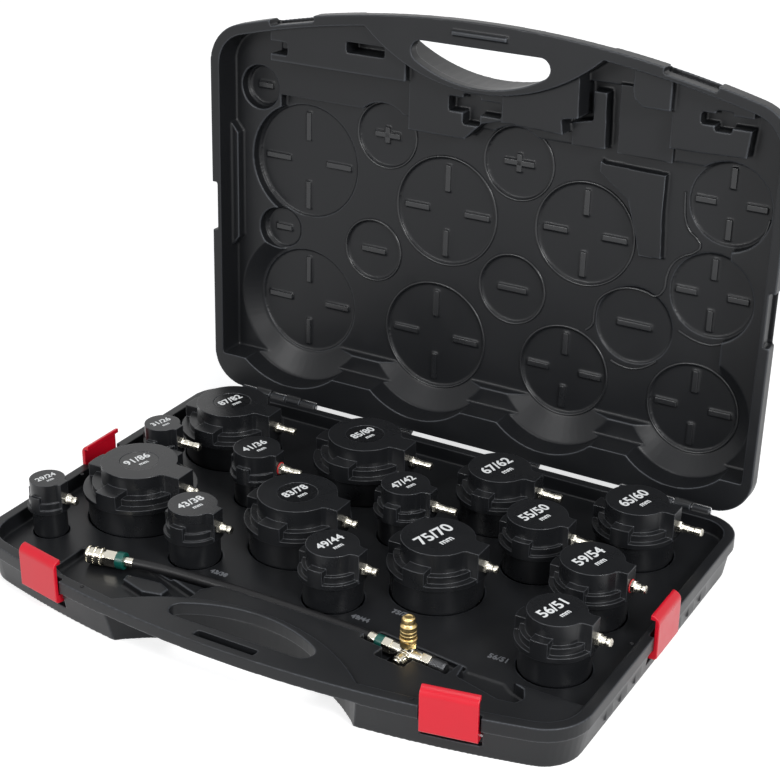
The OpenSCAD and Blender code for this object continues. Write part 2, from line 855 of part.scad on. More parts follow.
module lid_shell() {
    color(case_black)
        opened()
            difference() {
                union() {
                    translate([0, 0, lid_top])
                        mirror([0, 0, 1]) {
                            half_body(lid_h, lid_band_h, lid_inset, lid_ledge);
                            grip_ribs(lid_h - lid_band_h + bite, lid_grip_h, lid_grip_h);
                        }
                    knuckles(1, lid_z, band_h - seam);
                    translate([-tongue_l / 2, tongue_y - tongue_t / 2, lid_z - tongue_h])
                        cube([tongue_l, tongue_t, tongue_h + bite]);
                }
                translate([0, 0, lid_top])
                    mirror([0, 0, 1])
                        handle_cut(lid_h);
                difference() {
                    lid_hollow();
                    lid_blocks();
                }
                difference() {
                    lid_slots();
                    block(0)
                        ridge();
                }
                for (place = latch_places)
                    at_latch(place)
                        latch_notch();
                knuckle_room(0);
                hinge_bores();
            }
}

module hinge_pin(s) {
    color(steel)
        translate([s * (hinge_at + hinge_l / 2), hinge_y, rim_z])
            rotate([0, 90, 0])
                cylinder(r = hinge_pin_r, h = hinge_l, center = true);
}

// A latch in its own frame: a plate that bends over in a lip, with a pivot bead at its foot
module latch_solid() {
    out = -latch_proud;
    inner = latch_t - latch_proud;
    foot_z = pivot_z - latch_pin_r;
    toe_z = foot_z - latch_t / 2;
    bend_r = lip_in + latch_proud;
    top = lip_z + lip_t;
    bend_z = top - bend_r;
    difference() {
        translate([-latch_w / 2, 0, 0])
            rotate([90, 0, 90])
                linear_extrude(latch_w) {
                    polygon([
                        [out, foot_z], [out + latch_t / 2, toe_z], [pivot_in, pivot_z - bead_r],
                        [pivot_in, pivot_z + bead_r], [inner, pivot_z + bead_r], [inner, bend_z],
                        [out, bend_z]
                    ]);
                    intersection() {
                        translate([lip_in, bend_z])
                            circle(bend_r);
                        polygon([
                            [out, bend_z - bite], [inner, bend_z - bite], [inner, lip_z], [lip_in, lip_z],
                            [lip_in, top], [out, top]
                        ]);
                    }
                    translate([pivot_in, pivot_z])
                        circle(bead_r);
                }
        translate([0, pivot_in, pivot_z])
            rotate([0, 90, 0])
                cylinder(r = latch_pin_r + fit, h = latch_w + 2 * bite, center = true);
    }
}

module latch(place) {
    color(latch_red)
        at_latch(place)
            latch_solid();
}

module latch_pin(place) {
    color(steel)
        at_latch(place)
            translate([0, pivot_in, pivot_z])
                rotate([0, 90, 0])
                    cylinder(r = latch_pin_r, h = latch_pin_l, center = true);
}

// The plan of an adapter's cap: a disc that runs out into the boss through two hollow corners
module cap_plan(i) {
    side = lug_w(i) / 2;
    corner_y = side + boss_flare;
    // The hollow corners reach a little into the disc
    sink = 0.3;
    corner_far = cap_r(i) + boss_flare - sink;
    corner_x = sqrt(pow(corner_far, 2) - pow(corner_y, 2));
    root_x = corner_x * cap_r(i) / corner_far;
    root_y = corner_y * cap_r(i) / corner_far - sink;
    circle(cap_r(i));
    difference() {
        polygon([
            [0, -root_y], [root_x, -root_y], [corner_x, -corner_y], [corner_x, -side], [collar_r(i), -side],
            [collar_r(i), side], [corner_x, side], [corner_x, corner_y], [root_x, root_y], [0, root_y]
        ]);
        for (s = [-1, 1])
            translate([corner_x, s * corner_y])
                circle(boss_flare);
    }
}

// A stepped hose adapter: two hose sizes, a collar, and a cap with lugs and a nipple boss
module adapter(i) {
    top_collar = collar_z + collar_t;
    shoulder_z = top_collar + shoulder_h;
    lug_top = adapter_h - lug_down;
    color(adapter_black)
        translate([adapter_x(i), adapter_y(i), pocket_floor])
            difference() {
                union() {
                    rotate_extrude()
                        polygon([
                            [0, 0], [small_r(i), 0], [small_r(i), step_z], [large_r(i), step_z],
                            [large_r(i), collar_z], [collar_r(i), collar_z], [collar_r(i), top_collar],
                            [shoulder_r(i), top_collar], [shoulder_r(i), shoulder_z], [0, shoulder_z]
                        ]);
                    translate([0, 0, collar_z + bite])
                        linear_extrude(adapter_h - collar_z - bite)
                            cap_plan(i);
                    intersection() {
                        translate([0, 0, collar_z + bite])
                            cylinder(r = collar_r(i), h = lug_top - collar_z - bite);
                        for (turn = [90:90:270])
                            rotate([0, 0, turn])
                                translate([0, -lug_w(i) / 2, 0])
                                    cube([collar_r(i) + bite, lug_w(i), adapter_h]);
                    }
                }
                translate([collar_r(i) - thread_l - fit, 0, nipple_z])
                    rotate([0, 90, 0])
                        cylinder(r = thread_r + fit, h = thread_l + bite);
                if (adapters[i][3] > large_cap)
                    translate([0, 0, adapter_h - label_depth])
                        cylinder(r = label_r, h = label_depth + bite);
            }
}

// An air nipple: thread, hexagon and a tail that is long or short
module nipple(i) {
    tail_l = i < long_n ? long_tail : short_tail;
    swell = 0.5;
    neck_r = tail_r - swell;
    seat_r = tail_r + swell;
    bead_l = tail_l / 3;
    color(nickel)
        translate([adapter_x(i) + collar_r(i), adapter_y(i), pocket_floor + nipple_z])
            rotate([0, 90, 0]) {
                translate([0, 0, -thread_l])
                    cylinder(r = thread_r, h = thread_l + bite);
                cylinder(r = hex_r, h = hex_l, $fn = 6);
                translate([0, 0, hex_l])
                    rotate_extrude()
                        polygon([
                            [0, -bite], [seat_r, -bite], [seat_r, ease], [tail_r, 2 * ease],
                            [tail_r, bead_l], [neck_r, bead_l + ease], [neck_r, tail_l - bead_l - ease],
                            [tail_r, tail_l - bead_l],
                            [tail_r, tail_l - ease], [tail_r - ease, tail_l], [0, tail_l]
                        ]);
            }
}

// Puts a piece at the hose's left end, its own +X towards the hose
module at_coupler() {
    translate([hose_path[0][0], hose_path[0][1], hose_z])
        rotate([0, 0, coupler_turn])
            children();
}

// Puts a piece at the hose's right end, its own +X away from the hose
module at_valve() {
    translate([hose_path[last][0], hose_path[last][1], hose_z])
        rotate([0, 0, valve_turn])
            children();
}

// A round or many-sided bar along X, from one place to another
module along(x0, x1, r, sides = $fn) {
    translate([x0, 0, 0])
        rotate([0, 90, 0])
            cylinder(r = r, h = x1 - x0, $fn = sides);
}

module coupler_body() {
    mouth_r = 3.6;
    mouth_l = 10;
    color(nickel)
        at_coupler()
            difference() {
                union() {
                    along(coupler_x, sleeve_stop_x + bite, coupler_core_r);
                    along(sleeve_stop_x, coupler_hex_x, sleeve_r, 6);
                    along(coupler_hex_x - bite, 0, coupler_tail_r);
                }
                along(coupler_x - bite, coupler_x + mouth_l, mouth_r);
            }
}

module coupler_sleeve() {
    groove = 0.8;
    bead = sleeve_l / 5;
    color(nickel)
        at_coupler()
            difference() {
                along(coupler_x, sleeve_x, sleeve_r);
                along(coupler_x - bite, sleeve_x + bite, coupler_core_r + fit);
                for (k = [1, 3])
                    difference() {
                        along(coupler_x + k * bead, coupler_x + (k + 1) * bead, sleeve_r + bite);
                        along(coupler_x, sleeve_x, sleeve_r - groove);
                    }
            }
}

module coupler_ring() {
    color(ring_green)
        at_coupler()
            difference() {
                along(coupler_hex_x, ring_x, sleeve_r - rest_gap);
                along(coupler_hex_x - bite, ring_x + bite, coupler_tail_r + fit);
            }
}

// The hose's direction at one of its points, a point beside it, and a ring of points around it
function run_at(k) =
    let (a = hose_path[max(k - 1, 0)], b = hose_path[min(k + 1, last)])
        (b - a) / norm(b - a);
function hose_side(k, side) =
    let (run = run_at(k))
        [hose_path[k][0] - run[1] * side, hose_path[k][1] + run[0] * side];
function hose_ring(k) = [
    for (j = [0:hose_sides - 1])
        let (t = 360 * j / hose_sides, run = run_at(k))
            [
                hose_path[k][0] - run[1] * hose_r * cos(t),
                hose_path[k][1] + run[0] * hose_r * cos(t),
                hose_z + hose_r * sin(t)
            ]
];

module hose() {
    points = [for (k = [0:last]) each hose_ring(k)];
    sides = [
        for (k = [0:last - 1])
            for (j = [0:hose_sides - 1])
                let (a = k * hose_sides + j, b = k * hose_sides + (j + 1) % hose_sides)
                    each [[a, b, b + hose_sides], [a, b + hose_sides, a + hose_sides]]
    ];
    first_end = [for (j = [1:hose_sides - 2]) [0, j + 1, j]];
    top = last * hose_sides;
    last_end = [for (j = [1:hose_sides - 2]) [top, top + j, top + j + 1]];
    color(hose_black)
        polyhedron(points, concat(sides, first_end, last_end));
}

module ferrule() {
    color(nickel)
        at_valve()
            along(0, ferrule_ring_x, ferrule_r);
}

module ferrule_ring() {
    color(ring_green)
        at_valve()
            along(ferrule_ring_x, hose_nut_x, ferrule_r + rest_gap);
}

module hose_nut() {
    color(nickel)
        at_valve()
            along(hose_nut_x, cross_x, nut_r, 6);
}

module cross_fitting() {
    color(nickel)
        at_valve()
            difference() {
                union() {
                    along(cross_x, end_nut_x, cross_r);
                    translate([cross_mid, 0, 0]) {
                        cylinder(r = cross_r, h = relief_seat);
                        rotate([90, 0, 0])
                            cylinder(r = cross_r, h = relief_seat);
                    }
                }
                translate([cross_mid, -relief_seat - bite, 0])
                    rotate([-90, 0, 0])
                        cylinder(r = knob_stub_r + fit, h = knob_stub_l + bite);
            }
}

module relief_body() {
    hex_h = 5;
    hex_top = relief_seat + hex_h;
    waist_r = relief_r - ease;
    collar_top = relief_h - neck_l;
    stem_top = relief_h + relief_cap_h / 2;
    color(brass)
        at_valve()
            translate([cross_mid, 0, 0]) {
                translate([0, 0, relief_seat])
                    cylinder(r = relief_r, h = hex_h, $fn = 6);
                rotate_extrude()
                    polygon([
                        [0, relief_seat + bite], [waist_r, relief_seat + bite], [waist_r, hex_top + ease],
                        [relief_r, hex_top + 2 * ease], [relief_r, collar_top - ease], [waist_r, collar_top],
                        [relief_neck_r, collar_top], [relief_neck_r, stem_top], [0, stem_top]
                    ]);
            }
}

module relief_cap() {
    cap_r = relief_r - ease / 2;
    waist_r = cap_r - ease;
    top_z = relief_h + relief_cap_h;
    rim_h = 4;
    dome_h = 3;
    socket_z = relief_h + relief_cap_h / 2 + fit;
    color(brass)
        at_valve()
            translate([cross_mid, 0, 0])
                rotate_extrude()
                    polygon([
                        [relief_neck_r + fit, relief_h], [waist_r, relief_h], [cap_r, relief_h + ease],
                        [cap_r, relief_h + rim_h], [waist_r, relief_h + rim_h + ease],
                        [waist_r, top_z - dome_h], [waist_r - ease, top_z], [0, top_z], [0, socket_z],
                        [relief_neck_r + fit, socket_z]
                    ]);
}

module bleed_knob() {
    color(nickel)
        at_valve()
            translate([cross_mid, -relief_seat, 0])
                rotate([90, 0, 0]) {
                    translate([0, 0, fit - knob_stub_l])
                        cylinder(r = knob_stub_r, h = knob_stub_l + bite);
                    translate([0, 0, fit])
                        rotate_extrude()
                            polygon([
                                [0, 0], [knob_r - ease, 0], [knob_r, ease], [knob_r, knob_l - 2 * ease],
                                [knob_r - ease, knob_l], [0, knob_l]
                            ]);
                }
}

module end_nut() {
    color(nickel)
        at_valve()
            along(end_nut_x, end_plug_x, nut_r, 6);
}

module end_plug() {
    color(plug_black)
        at_valve()
            along(end_plug_x, end_plug_x + plug_l, ferrule_r);
}

base_shell();
lid_shell();
hinge_pin(-1);  // hinge_pin_left
hinge_pin(1);  // hinge_pin_right
for (place = latch_places) {
    latch(place);
    latch_pin(place);
}
for (i = [0:adapter_n - 1]) {
    adapter(i);
    nipple(i);
}
coupler_body();
coupler_sleeve();
coupler_ring();
hose();
ferrule();
ferrule_ring();
hose_nut();
cross_fitting();
relief_body();
relief_cap();
bleed_knob();
end_nut();
end_plug();
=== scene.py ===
"""Looks of a leak tester kit: a moulded carry case, its hose adapters, latches and test hose.

Every length below is in millimetres unless its name ends in _m. The frame is the part's own: +X runs right
along the handle edge, +Y from the handle to the hinge, +Z up.
"""
import json
import logging
import math
from contextlib import contextmanager
from dataclasses import dataclass
from enum import Enum
from typing import Any, Iterator, Sequence

import bpy
from mathutils import Matrix, Vector


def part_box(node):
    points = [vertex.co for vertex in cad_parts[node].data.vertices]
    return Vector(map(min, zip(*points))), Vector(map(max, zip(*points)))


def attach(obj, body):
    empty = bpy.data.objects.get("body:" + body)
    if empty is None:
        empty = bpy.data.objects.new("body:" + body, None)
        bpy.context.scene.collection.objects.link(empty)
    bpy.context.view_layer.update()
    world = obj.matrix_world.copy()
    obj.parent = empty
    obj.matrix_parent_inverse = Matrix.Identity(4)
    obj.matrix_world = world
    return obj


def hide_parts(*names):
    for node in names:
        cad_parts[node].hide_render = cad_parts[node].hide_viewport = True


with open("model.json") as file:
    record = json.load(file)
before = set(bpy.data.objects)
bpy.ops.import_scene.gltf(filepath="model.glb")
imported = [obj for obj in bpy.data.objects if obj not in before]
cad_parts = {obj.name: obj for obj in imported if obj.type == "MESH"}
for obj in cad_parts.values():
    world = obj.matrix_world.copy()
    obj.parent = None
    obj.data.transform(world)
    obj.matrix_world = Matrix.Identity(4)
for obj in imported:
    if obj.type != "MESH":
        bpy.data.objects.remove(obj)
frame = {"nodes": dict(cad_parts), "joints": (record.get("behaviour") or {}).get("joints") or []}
LOG = logging.getLogger("leak_tester_kit")
MM = 0.001
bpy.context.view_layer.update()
Piece = bpy.types.Object
Tree = bpy.types.NodeTree
Socket = bpy.types.NodeSocket
Pair = tuple[float, float]
Triple = tuple[float, float, float]
# Height and radius at each step of a turned piece.
Profile = Sequence[Pair]
# Heights where a knurl begins and ends, and its depth.
Grip = Triple
# Facets around turned pieces: wide ones, fittings and small plugs.
WIDE_SIDES, RING_SIDES, SMALL_SIDES = 96, 48, 24
WHITE = (1.0, 1.0, 1.0, 1.0)
# A colour mix node's inputs and output, by their numbers.
MIX_SHARE, MIX_FIRST, MIX_SECOND, MIX_RESULT = 0, 6, 7, 2
# Where the lighter edge colour begins and where it is full: by the bend of the mesh on the case, where it is handling
# wear and a painted highlight, and by the turn of a rounded normal elsewhere, where it is a painted highlight.
BEND_WEAR_AND_HIGHLIGHT, TURN_HIGHLIGHT = (0.51, 0.57), (0.985, 0.86)
# A face whose normal rises more than this isn't part of a turned piece's wall.
MOST_RISE = 0.3


class Body(Enum):
    """The rigid bodies that pieces ride on."""

    BASE = "base"
    LID = "lid"
    HOSE = "hose_set"
    SLEEVE = "sleeve"
    VALVE_CAP = "valve_cap"
    KNOB = "knob"


class Slot(Enum):
    """The record's material slots."""

    CASE = "case_plastic"
    ADAPTER = "adapter_plastic"
    LATCH = "latch_plastic"
    NICKEL = "nickel_plate"
    GREEN = "green_plastic"
    HOSE = "hose_rubber"
    PLUG = "plug_plastic"
    BRASS = "brass"


class Ends(Enum):
    """How a turned piece ends: filled in, or open as a ring with a bore."""

    SOLID = "solid"
    RING = "ring"


class Shade(Enum):
    """Edges that are sharper than this many degrees stay sharp, by the kind of piece."""

    KNURLED = 30
    TURNED = 35
    MOULDED = 40
    LABEL = 50
    ROUND = 60


class HoseEnd(Enum):
    """The two ends of the hose, by their place in its route."""

    COUPLER = 0
    VALVE = -1


def linear(colour: str) -> tuple[float, float, float, float]:
    """Turns an sRGB hex colour to linear, by the curve that the sRGB standard gives.

    Args:
        colour: The colour as #rrggbb.

    Returns:
        Linear red, green and blue, and an alpha of 1.
    """
    parts = [int(colour[i:i + 2], 16) / 255 for i in (1, 3, 5)]
    return (*(c / 12.92 if c <= 0.04045 else ((c + 0.055) / 1.055) ** 2.4 for c in parts), 1.0)


def add_node(tree: Tree, kind: str, settings: dict[Any, Any], links: dict[Any, Any]) -> bpy.types.Node:
    """Adds a shader node with its settings and the links into it.

    Args:
        tree: The node tree that gets the node.
        kind: The node's type, without the shared prefix.
        settings: Values by attribute name, or by an input's name or number.
        links: Output sockets by input name or number.

    Returns:
        The new node.
    """
    made = tree.nodes.new("ShaderNode" + kind)
    for key, value in settings.items():
        if isinstance(key, str) and hasattr(made, key):
            setattr(made, key, value)
        else:
            made.inputs[key].default_value = value
    for key, socket in links.items():
        tree.links.new(socket, made.inputs[key])
    return made


@dataclass(frozen=True)
class Finish:
    """A surface finish: a shader whose colour, roughness and grain vary as the real surface's do, with a painted
    highlight along the edges where it has an edge colour.

    Attributes:
        name: What the material is and how its surface was made.
        colour: Main colour, sRGB.
        worn: Colour of the lighter patches, sRGB.
        rough: Roughness at its smoothest.
        spread: How much rougher the dull patches are.
        grain: Size of the surface grain.
        depth: Depth of the grain, as a bump distance.
        patch: Size of the patches of colour and gloss.
        metallic: 1 for a metal, 0 for the rest.
        specular: Strength of the gloss of what isn't a metal.
        edge: Lighter colour painted along the edges, sRGB, or none: a painted highlight, and on the case handling wear
            as well.
        edge_r: Width of the rounded edges that carry the painted highlight, or 0 where the mesh itself is round.
    """

    name: str
    colour: str
    worn: str
    rough: float
    spread: float
    grain: float
    depth: float
    patch: float
    metallic: float = 0.0
    specular: float = 0.5
    edge: str | None = None
    edge_r: float = 0.0

    def material(self) -> bpy.types.Material:
        """Makes the material, or returns the one that exists."""
        found = bpy.data.materials.get(self.name)
        if found:
            return found
        made = bpy.data.materials.new(self.name)
        made.use_nodes = True
        tree = made.node_tree
        tree.nodes.clear()
        place = add_node(tree, "TexCoord", {}, {}).outputs["Object"]
        patches = add_node(
            tree, "TexNoise", {"Scale": 1 / (self.patch * MM), "Detail": 4.0, "Roughness": 0.6}, {"Vector": place}
        ).outputs["Fac"]
        dull = add_node(
            tree, "MapRange",
            {"From Min": 0.3, "From Max": 0.7, "To Min": self.rough, "To Max": self.rough + self.spread},
            {"Value": patches},
        )
        shader = add_node(
            tree, "BsdfPrincipled", {"Metallic": self.metallic, "Specular IOR Level": self.specular},
            {"Base Color": self.tint(tree, patches), "Roughness": dull.outputs[0], "Normal": self.relief(tree, place)},
        )
        add_node(tree, "OutputMaterial", {}, {"Surface": shader.outputs[0]})
        return made

    def tint(self, tree: Tree, patches: Socket) -> Socket:
        """Mixes the patches of colour, and a painted highlight along outer edges, which on the case is handling wear
        as well.

        Args:
            tree: The material's nodes.
            patches: The pattern of patches.

        Returns:
            The colour.
        """
        spots = add_node(
            tree, "Mix", {"data_type": "RGBA", MIX_FIRST: linear(self.colour), MIX_SECOND: linear(self.worn)},
            {MIX_SHARE: patches},
        ).outputs[MIX_RESULT]
        if self.edge is None:
            return spots
        # Painted highlight: a lighter colour along the edges, standing for handling wear as well on the case.
        shape = add_node(tree, "NewGeometry", {}, {})
        bend, (flat, full_wear_and_highlight) = shape.outputs["Pointiness"], BEND_WEAR_AND_HIGHLIGHT
        if self.edge_r:
            turn = add_node(
                tree, "VectorMath", {"operation": "DOT_PRODUCT"},
                {0: self.rounded(tree), 1: shape.outputs["True Normal"]},
            )
            bend, (flat, full_wear_and_highlight) = turn.outputs["Value"], TURN_HIGHLIGHT
        wear_and_highlight = add_node(tree, "MapRange", {"From Min": flat, "From Max": full_wear_and_highlight}, {"Value": bend})
        return add_node(
            tree, "Mix", {"data_type": "RGBA", MIX_SECOND: linear(self.edge)},
            {MIX_SHARE: wear_and_highlight.outputs[0], MIX_FIRST: spots},
        ).outputs[MIX_RESULT]

    def relief(self, tree: Tree, place: Socket) -> Socket:
        """Adds the surface grain, on rounded edges where the finish has them.

        Args:
            tree: The material's nodes.
            place: Object coordinates.

        Returns:
            The bumped normal.
        """
        grain = add_node(tree, "TexNoise", {"Scale": 1 / (self.grain * MM), "Detail": 2.0}, {"Vector": place})
        links = {"Height": grain.outputs["Fac"]}
        if self.edge_r:
            links["Normal"] = self.rounded(tree)
        return add_node(tree, "Bump", {"Strength": 1.0, "Distance": self.depth * MM}, links).outputs[0]

    def rounded(self, tree: Tree) -> Socket:
        """Adds a normal that runs smoothly round the edges."""
        return add_node(tree, "Bevel", {"samples": 6, "Radius": self.edge_r * MM}, {}).outputs[0]


# Blow-moulded polyethylene: near black, with the fine spark-eroded grain of its mould, a soft sheen, and outer edges
# painted a little lighter, for handling wear and a painted highlight. The grain is about 0.4 mm on the real case and
# is drawn at 1.1 mm, so that it shows.
CASE_PLASTIC = Finish(
    "moulded polyethylene, grained", "#161719", "#191a1c", rough=0.32, spread=0.09, grain=1.1, depth=0.03, patch=55,
    specular=0.24, edge="#4b4e53",
)
# The same polyethylene on the lid's lips, ribs and bars: smooth, so that it catches the light.
LIP_PLASTIC = Finish(
    "moulded polyethylene, smooth lip", "#18191b", "#1d1e20", rough=0.24, spread=0.1, grain=1.1, depth=0.012, patch=55,
    specular=0.45,
)
# The same polyethylene on the raised figures, painted light grey as a painted highlight on them.
PAINTED_HIGHLIGHT_FIGURES = Finish(
    "moulded polyethylene, painted highlight", "#595b5f", "#6a6c70", rough=0.42, spread=0.12, grain=1.1, depth=0.01, patch=5,
    specular=0.4,
)
# Injection-moulded ABS: black with a fine satin grain, and rounded edges that catch the light, with a painted
# highlight along them.
ADAPTER_PLASTIC = Finish(
    "moulded ABS, satin black", "#141517", "#191a1c", rough=0.24, spread=0.10, grain=0.9, depth=0.004, patch=30,
    specular=0.36, edge="#3e4044", edge_r=1.0,
)
# Printed polyester label: smooth deep black.
LABEL_FILM = Finish(
    "printed polyester film, black", "#0c0d0f", "#101113", rough=0.22, spread=0.08, grain=2.0, depth=0.004, patch=10,
    specular=0.45,
)
# Injection-moulded polypropylene: deep red, glossy from a polished mould, with a painted highlight along its rounded
# edges.
LATCH_PLASTIC = Finish(
    "moulded polypropylene, glossy red", "#ba0a20", "#c20f25", rough=0.27, spread=0.08, grain=2.0, depth=0.004,
    patch=20, specular=0.38, edge="#d02f3e", edge_r=1.2,
)
# Nickel plate over turned brass: warm silver, bright, with faint turning marks.
NICKEL_PLATE = Finish(
    "nickel plate over turned brass", "#cbc7ba", "#dcd8cc", rough=0.17, spread=0.12, grain=0.7, depth=0.01, patch=6,
    metallic=1.0,
)
# Drawn steel wire: grey and a little dull.
STEEL_WIRE = Finish(
    "drawn steel wire", "#8d8e90", "#a0a1a3", rough=0.32, spread=0.12, grain=0.8, depth=0.01, patch=6,
    metallic=1.0,
)
# Turned brass: yellow metal with a soft shine.
TURNED_BRASS = Finish(
    "turned brass, bright", "#cbae74", "#dac38d", rough=0.26, spread=0.14, grain=0.7, depth=0.012, patch=6,
    metallic=1.0,
)
# Moulded nylon in dark green: smooth, with a slight gloss.
GREEN_NYLON = Finish(
    "moulded nylon, dark green", "#05443d", "#085249", rough=0.3, spread=0.1, grain=1.0, depth=0.01, patch=8,
)
# Extruded rubber hose: black with a faint bloom.
HOSE_RUBBER = Finish(
    "extruded rubber hose, black", "#0d0d0f", "#131315", rough=0.4, spread=0.15, grain=0.8, depth=0.02, patch=25,
    specular=0.3,
)
# Blackened steel thread: dark grey metal, dull between its crests.
BLACKENED_STEEL = Finish(
    "blackened steel thread", "#505153", "#606163", rough=0.34, spread=0.15, grain=0.7, depth=0.015, patch=6,
    metallic=0.9,
)
# Pad-printed ink: an opaque off-white film.
WHITE_INK = Finish(
    "pad-printed ink, white", "#dfe1e1", "#d3d5d6", rough=0.5, spread=0.1, grain=0.6, depth=0.004, patch=8,
)
# Silicone seal: a soft red ring.
RED_SEAL = Finish(
    "moulded silicone seal, red", "#a81c1f", "#b72629", rough=0.45, spread=0.1, grain=0.8, depth=0.01, patch=5,
)


def set_mode(mode: str) -> None:
    """Switches the active object's mode."""
    bpy.ops.object.mode_set(mode=mode)


def deselect() -> None:
    """Leaves object mode with nothing selected."""
    if bpy.context.object and bpy.context.object.mode != "OBJECT":
        set_mode("OBJECT")
    bpy.ops.object.select_all(action="DESELECT")


def activate(piece: Piece) -> None:
    """Selects one object alone and makes it the active one."""
    deselect()
    piece.select_set(True)
    bpy.context.view_layer.objects.active = piece


@contextmanager
def whole_mesh() -> Iterator[None]:
    """Works on the whole mesh of the active object in edit mode."""
    set_mode("EDIT")
    bpy.ops.mesh.select_all(action="SELECT")
    yield
    set_mode("OBJECT")


def add_object(name: str, data: bpy.types.ID) -> Piece:
    """Adds an object to the scene.

    Args:
        name: The object's name.
        data: Its mesh, curve, lamp or camera.

    Returns:
        The object.
    """
    made = bpy.data.objects.new(name, data)
    bpy.context.scene.collection.objects.link(made)
    return made


def span(piece: Piece, axis: int) -> float:
    """Measures a mesh along one of its own axes.

    Args:
        piece: The mesh object.
        axis: 0, 1 or 2.

    Returns:
        The length in metres.
    """
    places = [corner.co[axis] for corner in piece.data.vertices]
    return max(places) - min(places)


def apply_modifier(piece: Piece, kind: str, **settings: Any) -> None:
    """Adds a modifier with its settings and applies it.

    Args:
        piece: The object to change.
        kind: The modifier's type.
        **settings: Values for the modifier.
    """
    activate(piece)
    made = piece.modifiers.new(kind.lower(), kind)
    for key, value in settings.items():
        setattr(made, key, value)
    bpy.ops.object.modifier_apply(modifier=made.name)


def finish_piece(piece: Piece, name: str, finish: Finish, body: str, replaced: Sequence[str] = ()) -> None:
    """Names, paints and attaches a finished piece, with its place moved into its mesh.

    Args:
        piece: The modelled object.
        name: The piece's name.
        finish: Its surface finish.
        body: The body that it rides on.
        replaced: Nodes of the frame that it stands for.
    """
    activate(piece)
    bpy.ops.object.transform_apply(location=True, rotation=True, scale=True)
    piece.name = name
    piece.data.materials.clear()
    piece.data.materials.append(finish.material())
    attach(piece, body)
    if replaced:
        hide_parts(*replaced)
    deselect()
    LOG.info("%s: %d faces on %s", name, len(piece.data.polygons), body)


def paint_node(node: str, finish: Finish) -> None:
    """Gives a node of the frame its finish.

    Args:
        node: The node that stays as it is.
        finish: Its surface finish.
    """
    shown = frame["nodes"][node]
    shown.data.materials.clear()
    shown.data.materials.append(finish.material())
    LOG.info("%s: painted", node)


def merged_copy(node: str) -> Piece:
    """Copies a node's mesh into a new object, with its loose triangles joined.

    Args:
        node: The node of the frame.

    Returns:
        The copy, active and selected.
    """
    copy = add_object(node + "_copy", frame["nodes"][node].data.copy())
    activate(copy)
    with whole_mesh():
        bpy.ops.mesh.remove_doubles(threshold=0.002 * MM)
    return copy


def soft_shade(piece: Piece, shade: Shade = Shade.MOULDED) -> None:
    """Shades a piece smooth, with its flat faces kept flat.

    Args:
        piece: The object.
        shade: Which of its edges stay sharp.
    """
    activate(piece)
    bpy.ops.object.shade_smooth_by_angle(angle=math.radians(shade.value))
    apply_modifier(piece, "WEIGHTED_NORMAL", weight=100, keep_sharp=True)


def eased_copy(node: str, edge: float, segments: int = 2) -> Piece:
    """Copies a node and rounds its edges, as a moulded or turned piece's are.

    Args:
        node: The node of the frame.
        edge: Width of the rounding.
        segments: Steps across the rounding.

    Returns:
        The copy with smooth shading.
    """
    copy = merged_copy(node)
    with whole_mesh():
        bpy.ops.mesh.dissolve_limited(angle_limit=math.radians(0.6))
    apply_modifier(
        copy, "BEVEL", width=edge * MM, segments=segments, limit_method="ANGLE", angle_limit=math.radians(28)
    )
    soft_shade(copy)
    return copy


def knurl(piece: Piece, grip: Grip, sides: int) -> None:
    """Cuts a straight knurl into a band of a turned piece: every second facet is sunk.

    Args:
        piece: The turned object, still about Z.
        grip: Heights where the band begins and ends, and the depth of the grooves.
        sides: Facets around the piece.
    """
    low, high, depth = grip
    activate(piece)
    set_mode("EDIT")
    bpy.ops.mesh.select_mode(type="FACE")
    bpy.ops.mesh.select_all(action="DESELECT")
    set_mode("OBJECT")
    for face in piece.data.polygons:
        middle, normal = face.center, face.normal
        wall = normal.x * middle.x + normal.y * middle.y > 0 and abs(normal.z) < MOST_RISE
        facet = round((math.atan2(middle.y, middle.x) % math.tau) / math.tau * sides - 0.5)
        face.select = wall and low * MM < middle.z < high * MM and facet % 2 == 0
    set_mode("EDIT")
    bpy.ops.mesh.extrude_region_shrink_fatten(TRANSFORM_OT_shrink_fatten={"value": -depth * MM})
    set_mode("OBJECT")


def turned(
    profile: Profile, sides: int, shade: Shade, ends: Ends = Ends.SOLID, grips: Sequence[Grip] = ()
) -> Piece:
    """Turns a profile about Z, as on a lathe: a circle is drawn out and resized step by step.

    Args:
        profile: Height and radius at each step.
        sides: Facets around.
        shade: Which of its edges stay sharp.
        ends: Whether its two ends are filled, or joined through a bore.
        grips: Its knurls.

    Returns:
        The turned object at the origin.
    """
    deselect()
    bpy.ops.mesh.primitive_circle_add(vertices=sides, radius=profile[0][1] * MM, location=(0, 0, profile[0][0] * MM))
    piece = bpy.context.object
    bpy.ops.object.transform_apply(location=True)
    set_mode("EDIT")
    bpy.ops.mesh.select_mode(type="VERT")
    bpy.ops.mesh.select_all(action="SELECT")
    for (z0, r0), (z1, r1) in zip(profile, profile[1:]):
        bpy.ops.mesh.extrude_region_move(TRANSFORM_OT_translate={"value": (0, 0, (z1 - z0) * MM)})
        bpy.ops.transform.resize(value=(r1 / r0, r1 / r0, 1), center_override=(0, 0, z1 * MM))
    if ends is Ends.SOLID:
        bpy.ops.mesh.select_all(action="SELECT")
        bpy.ops.mesh.fill_holes(sides=0)
    else:
        bpy.ops.mesh.select_all(action="DESELECT")
        bpy.ops.mesh.select_non_manifold(
            extend=False, use_wire=False, use_boundary=True, use_multi_face=False, use_non_contiguous=False,
            use_verts=False,
        )
        bpy.ops.mesh.bridge_edge_loops()
    bpy.ops.mesh.select_all(action="SELECT")
    bpy.ops.mesh.normals_make_consistent(inside=False)
    set_mode("OBJECT")
    for grip in grips:
        knurl(piece, grip, sides)
    soft_shade(piece, shade)
    return piece


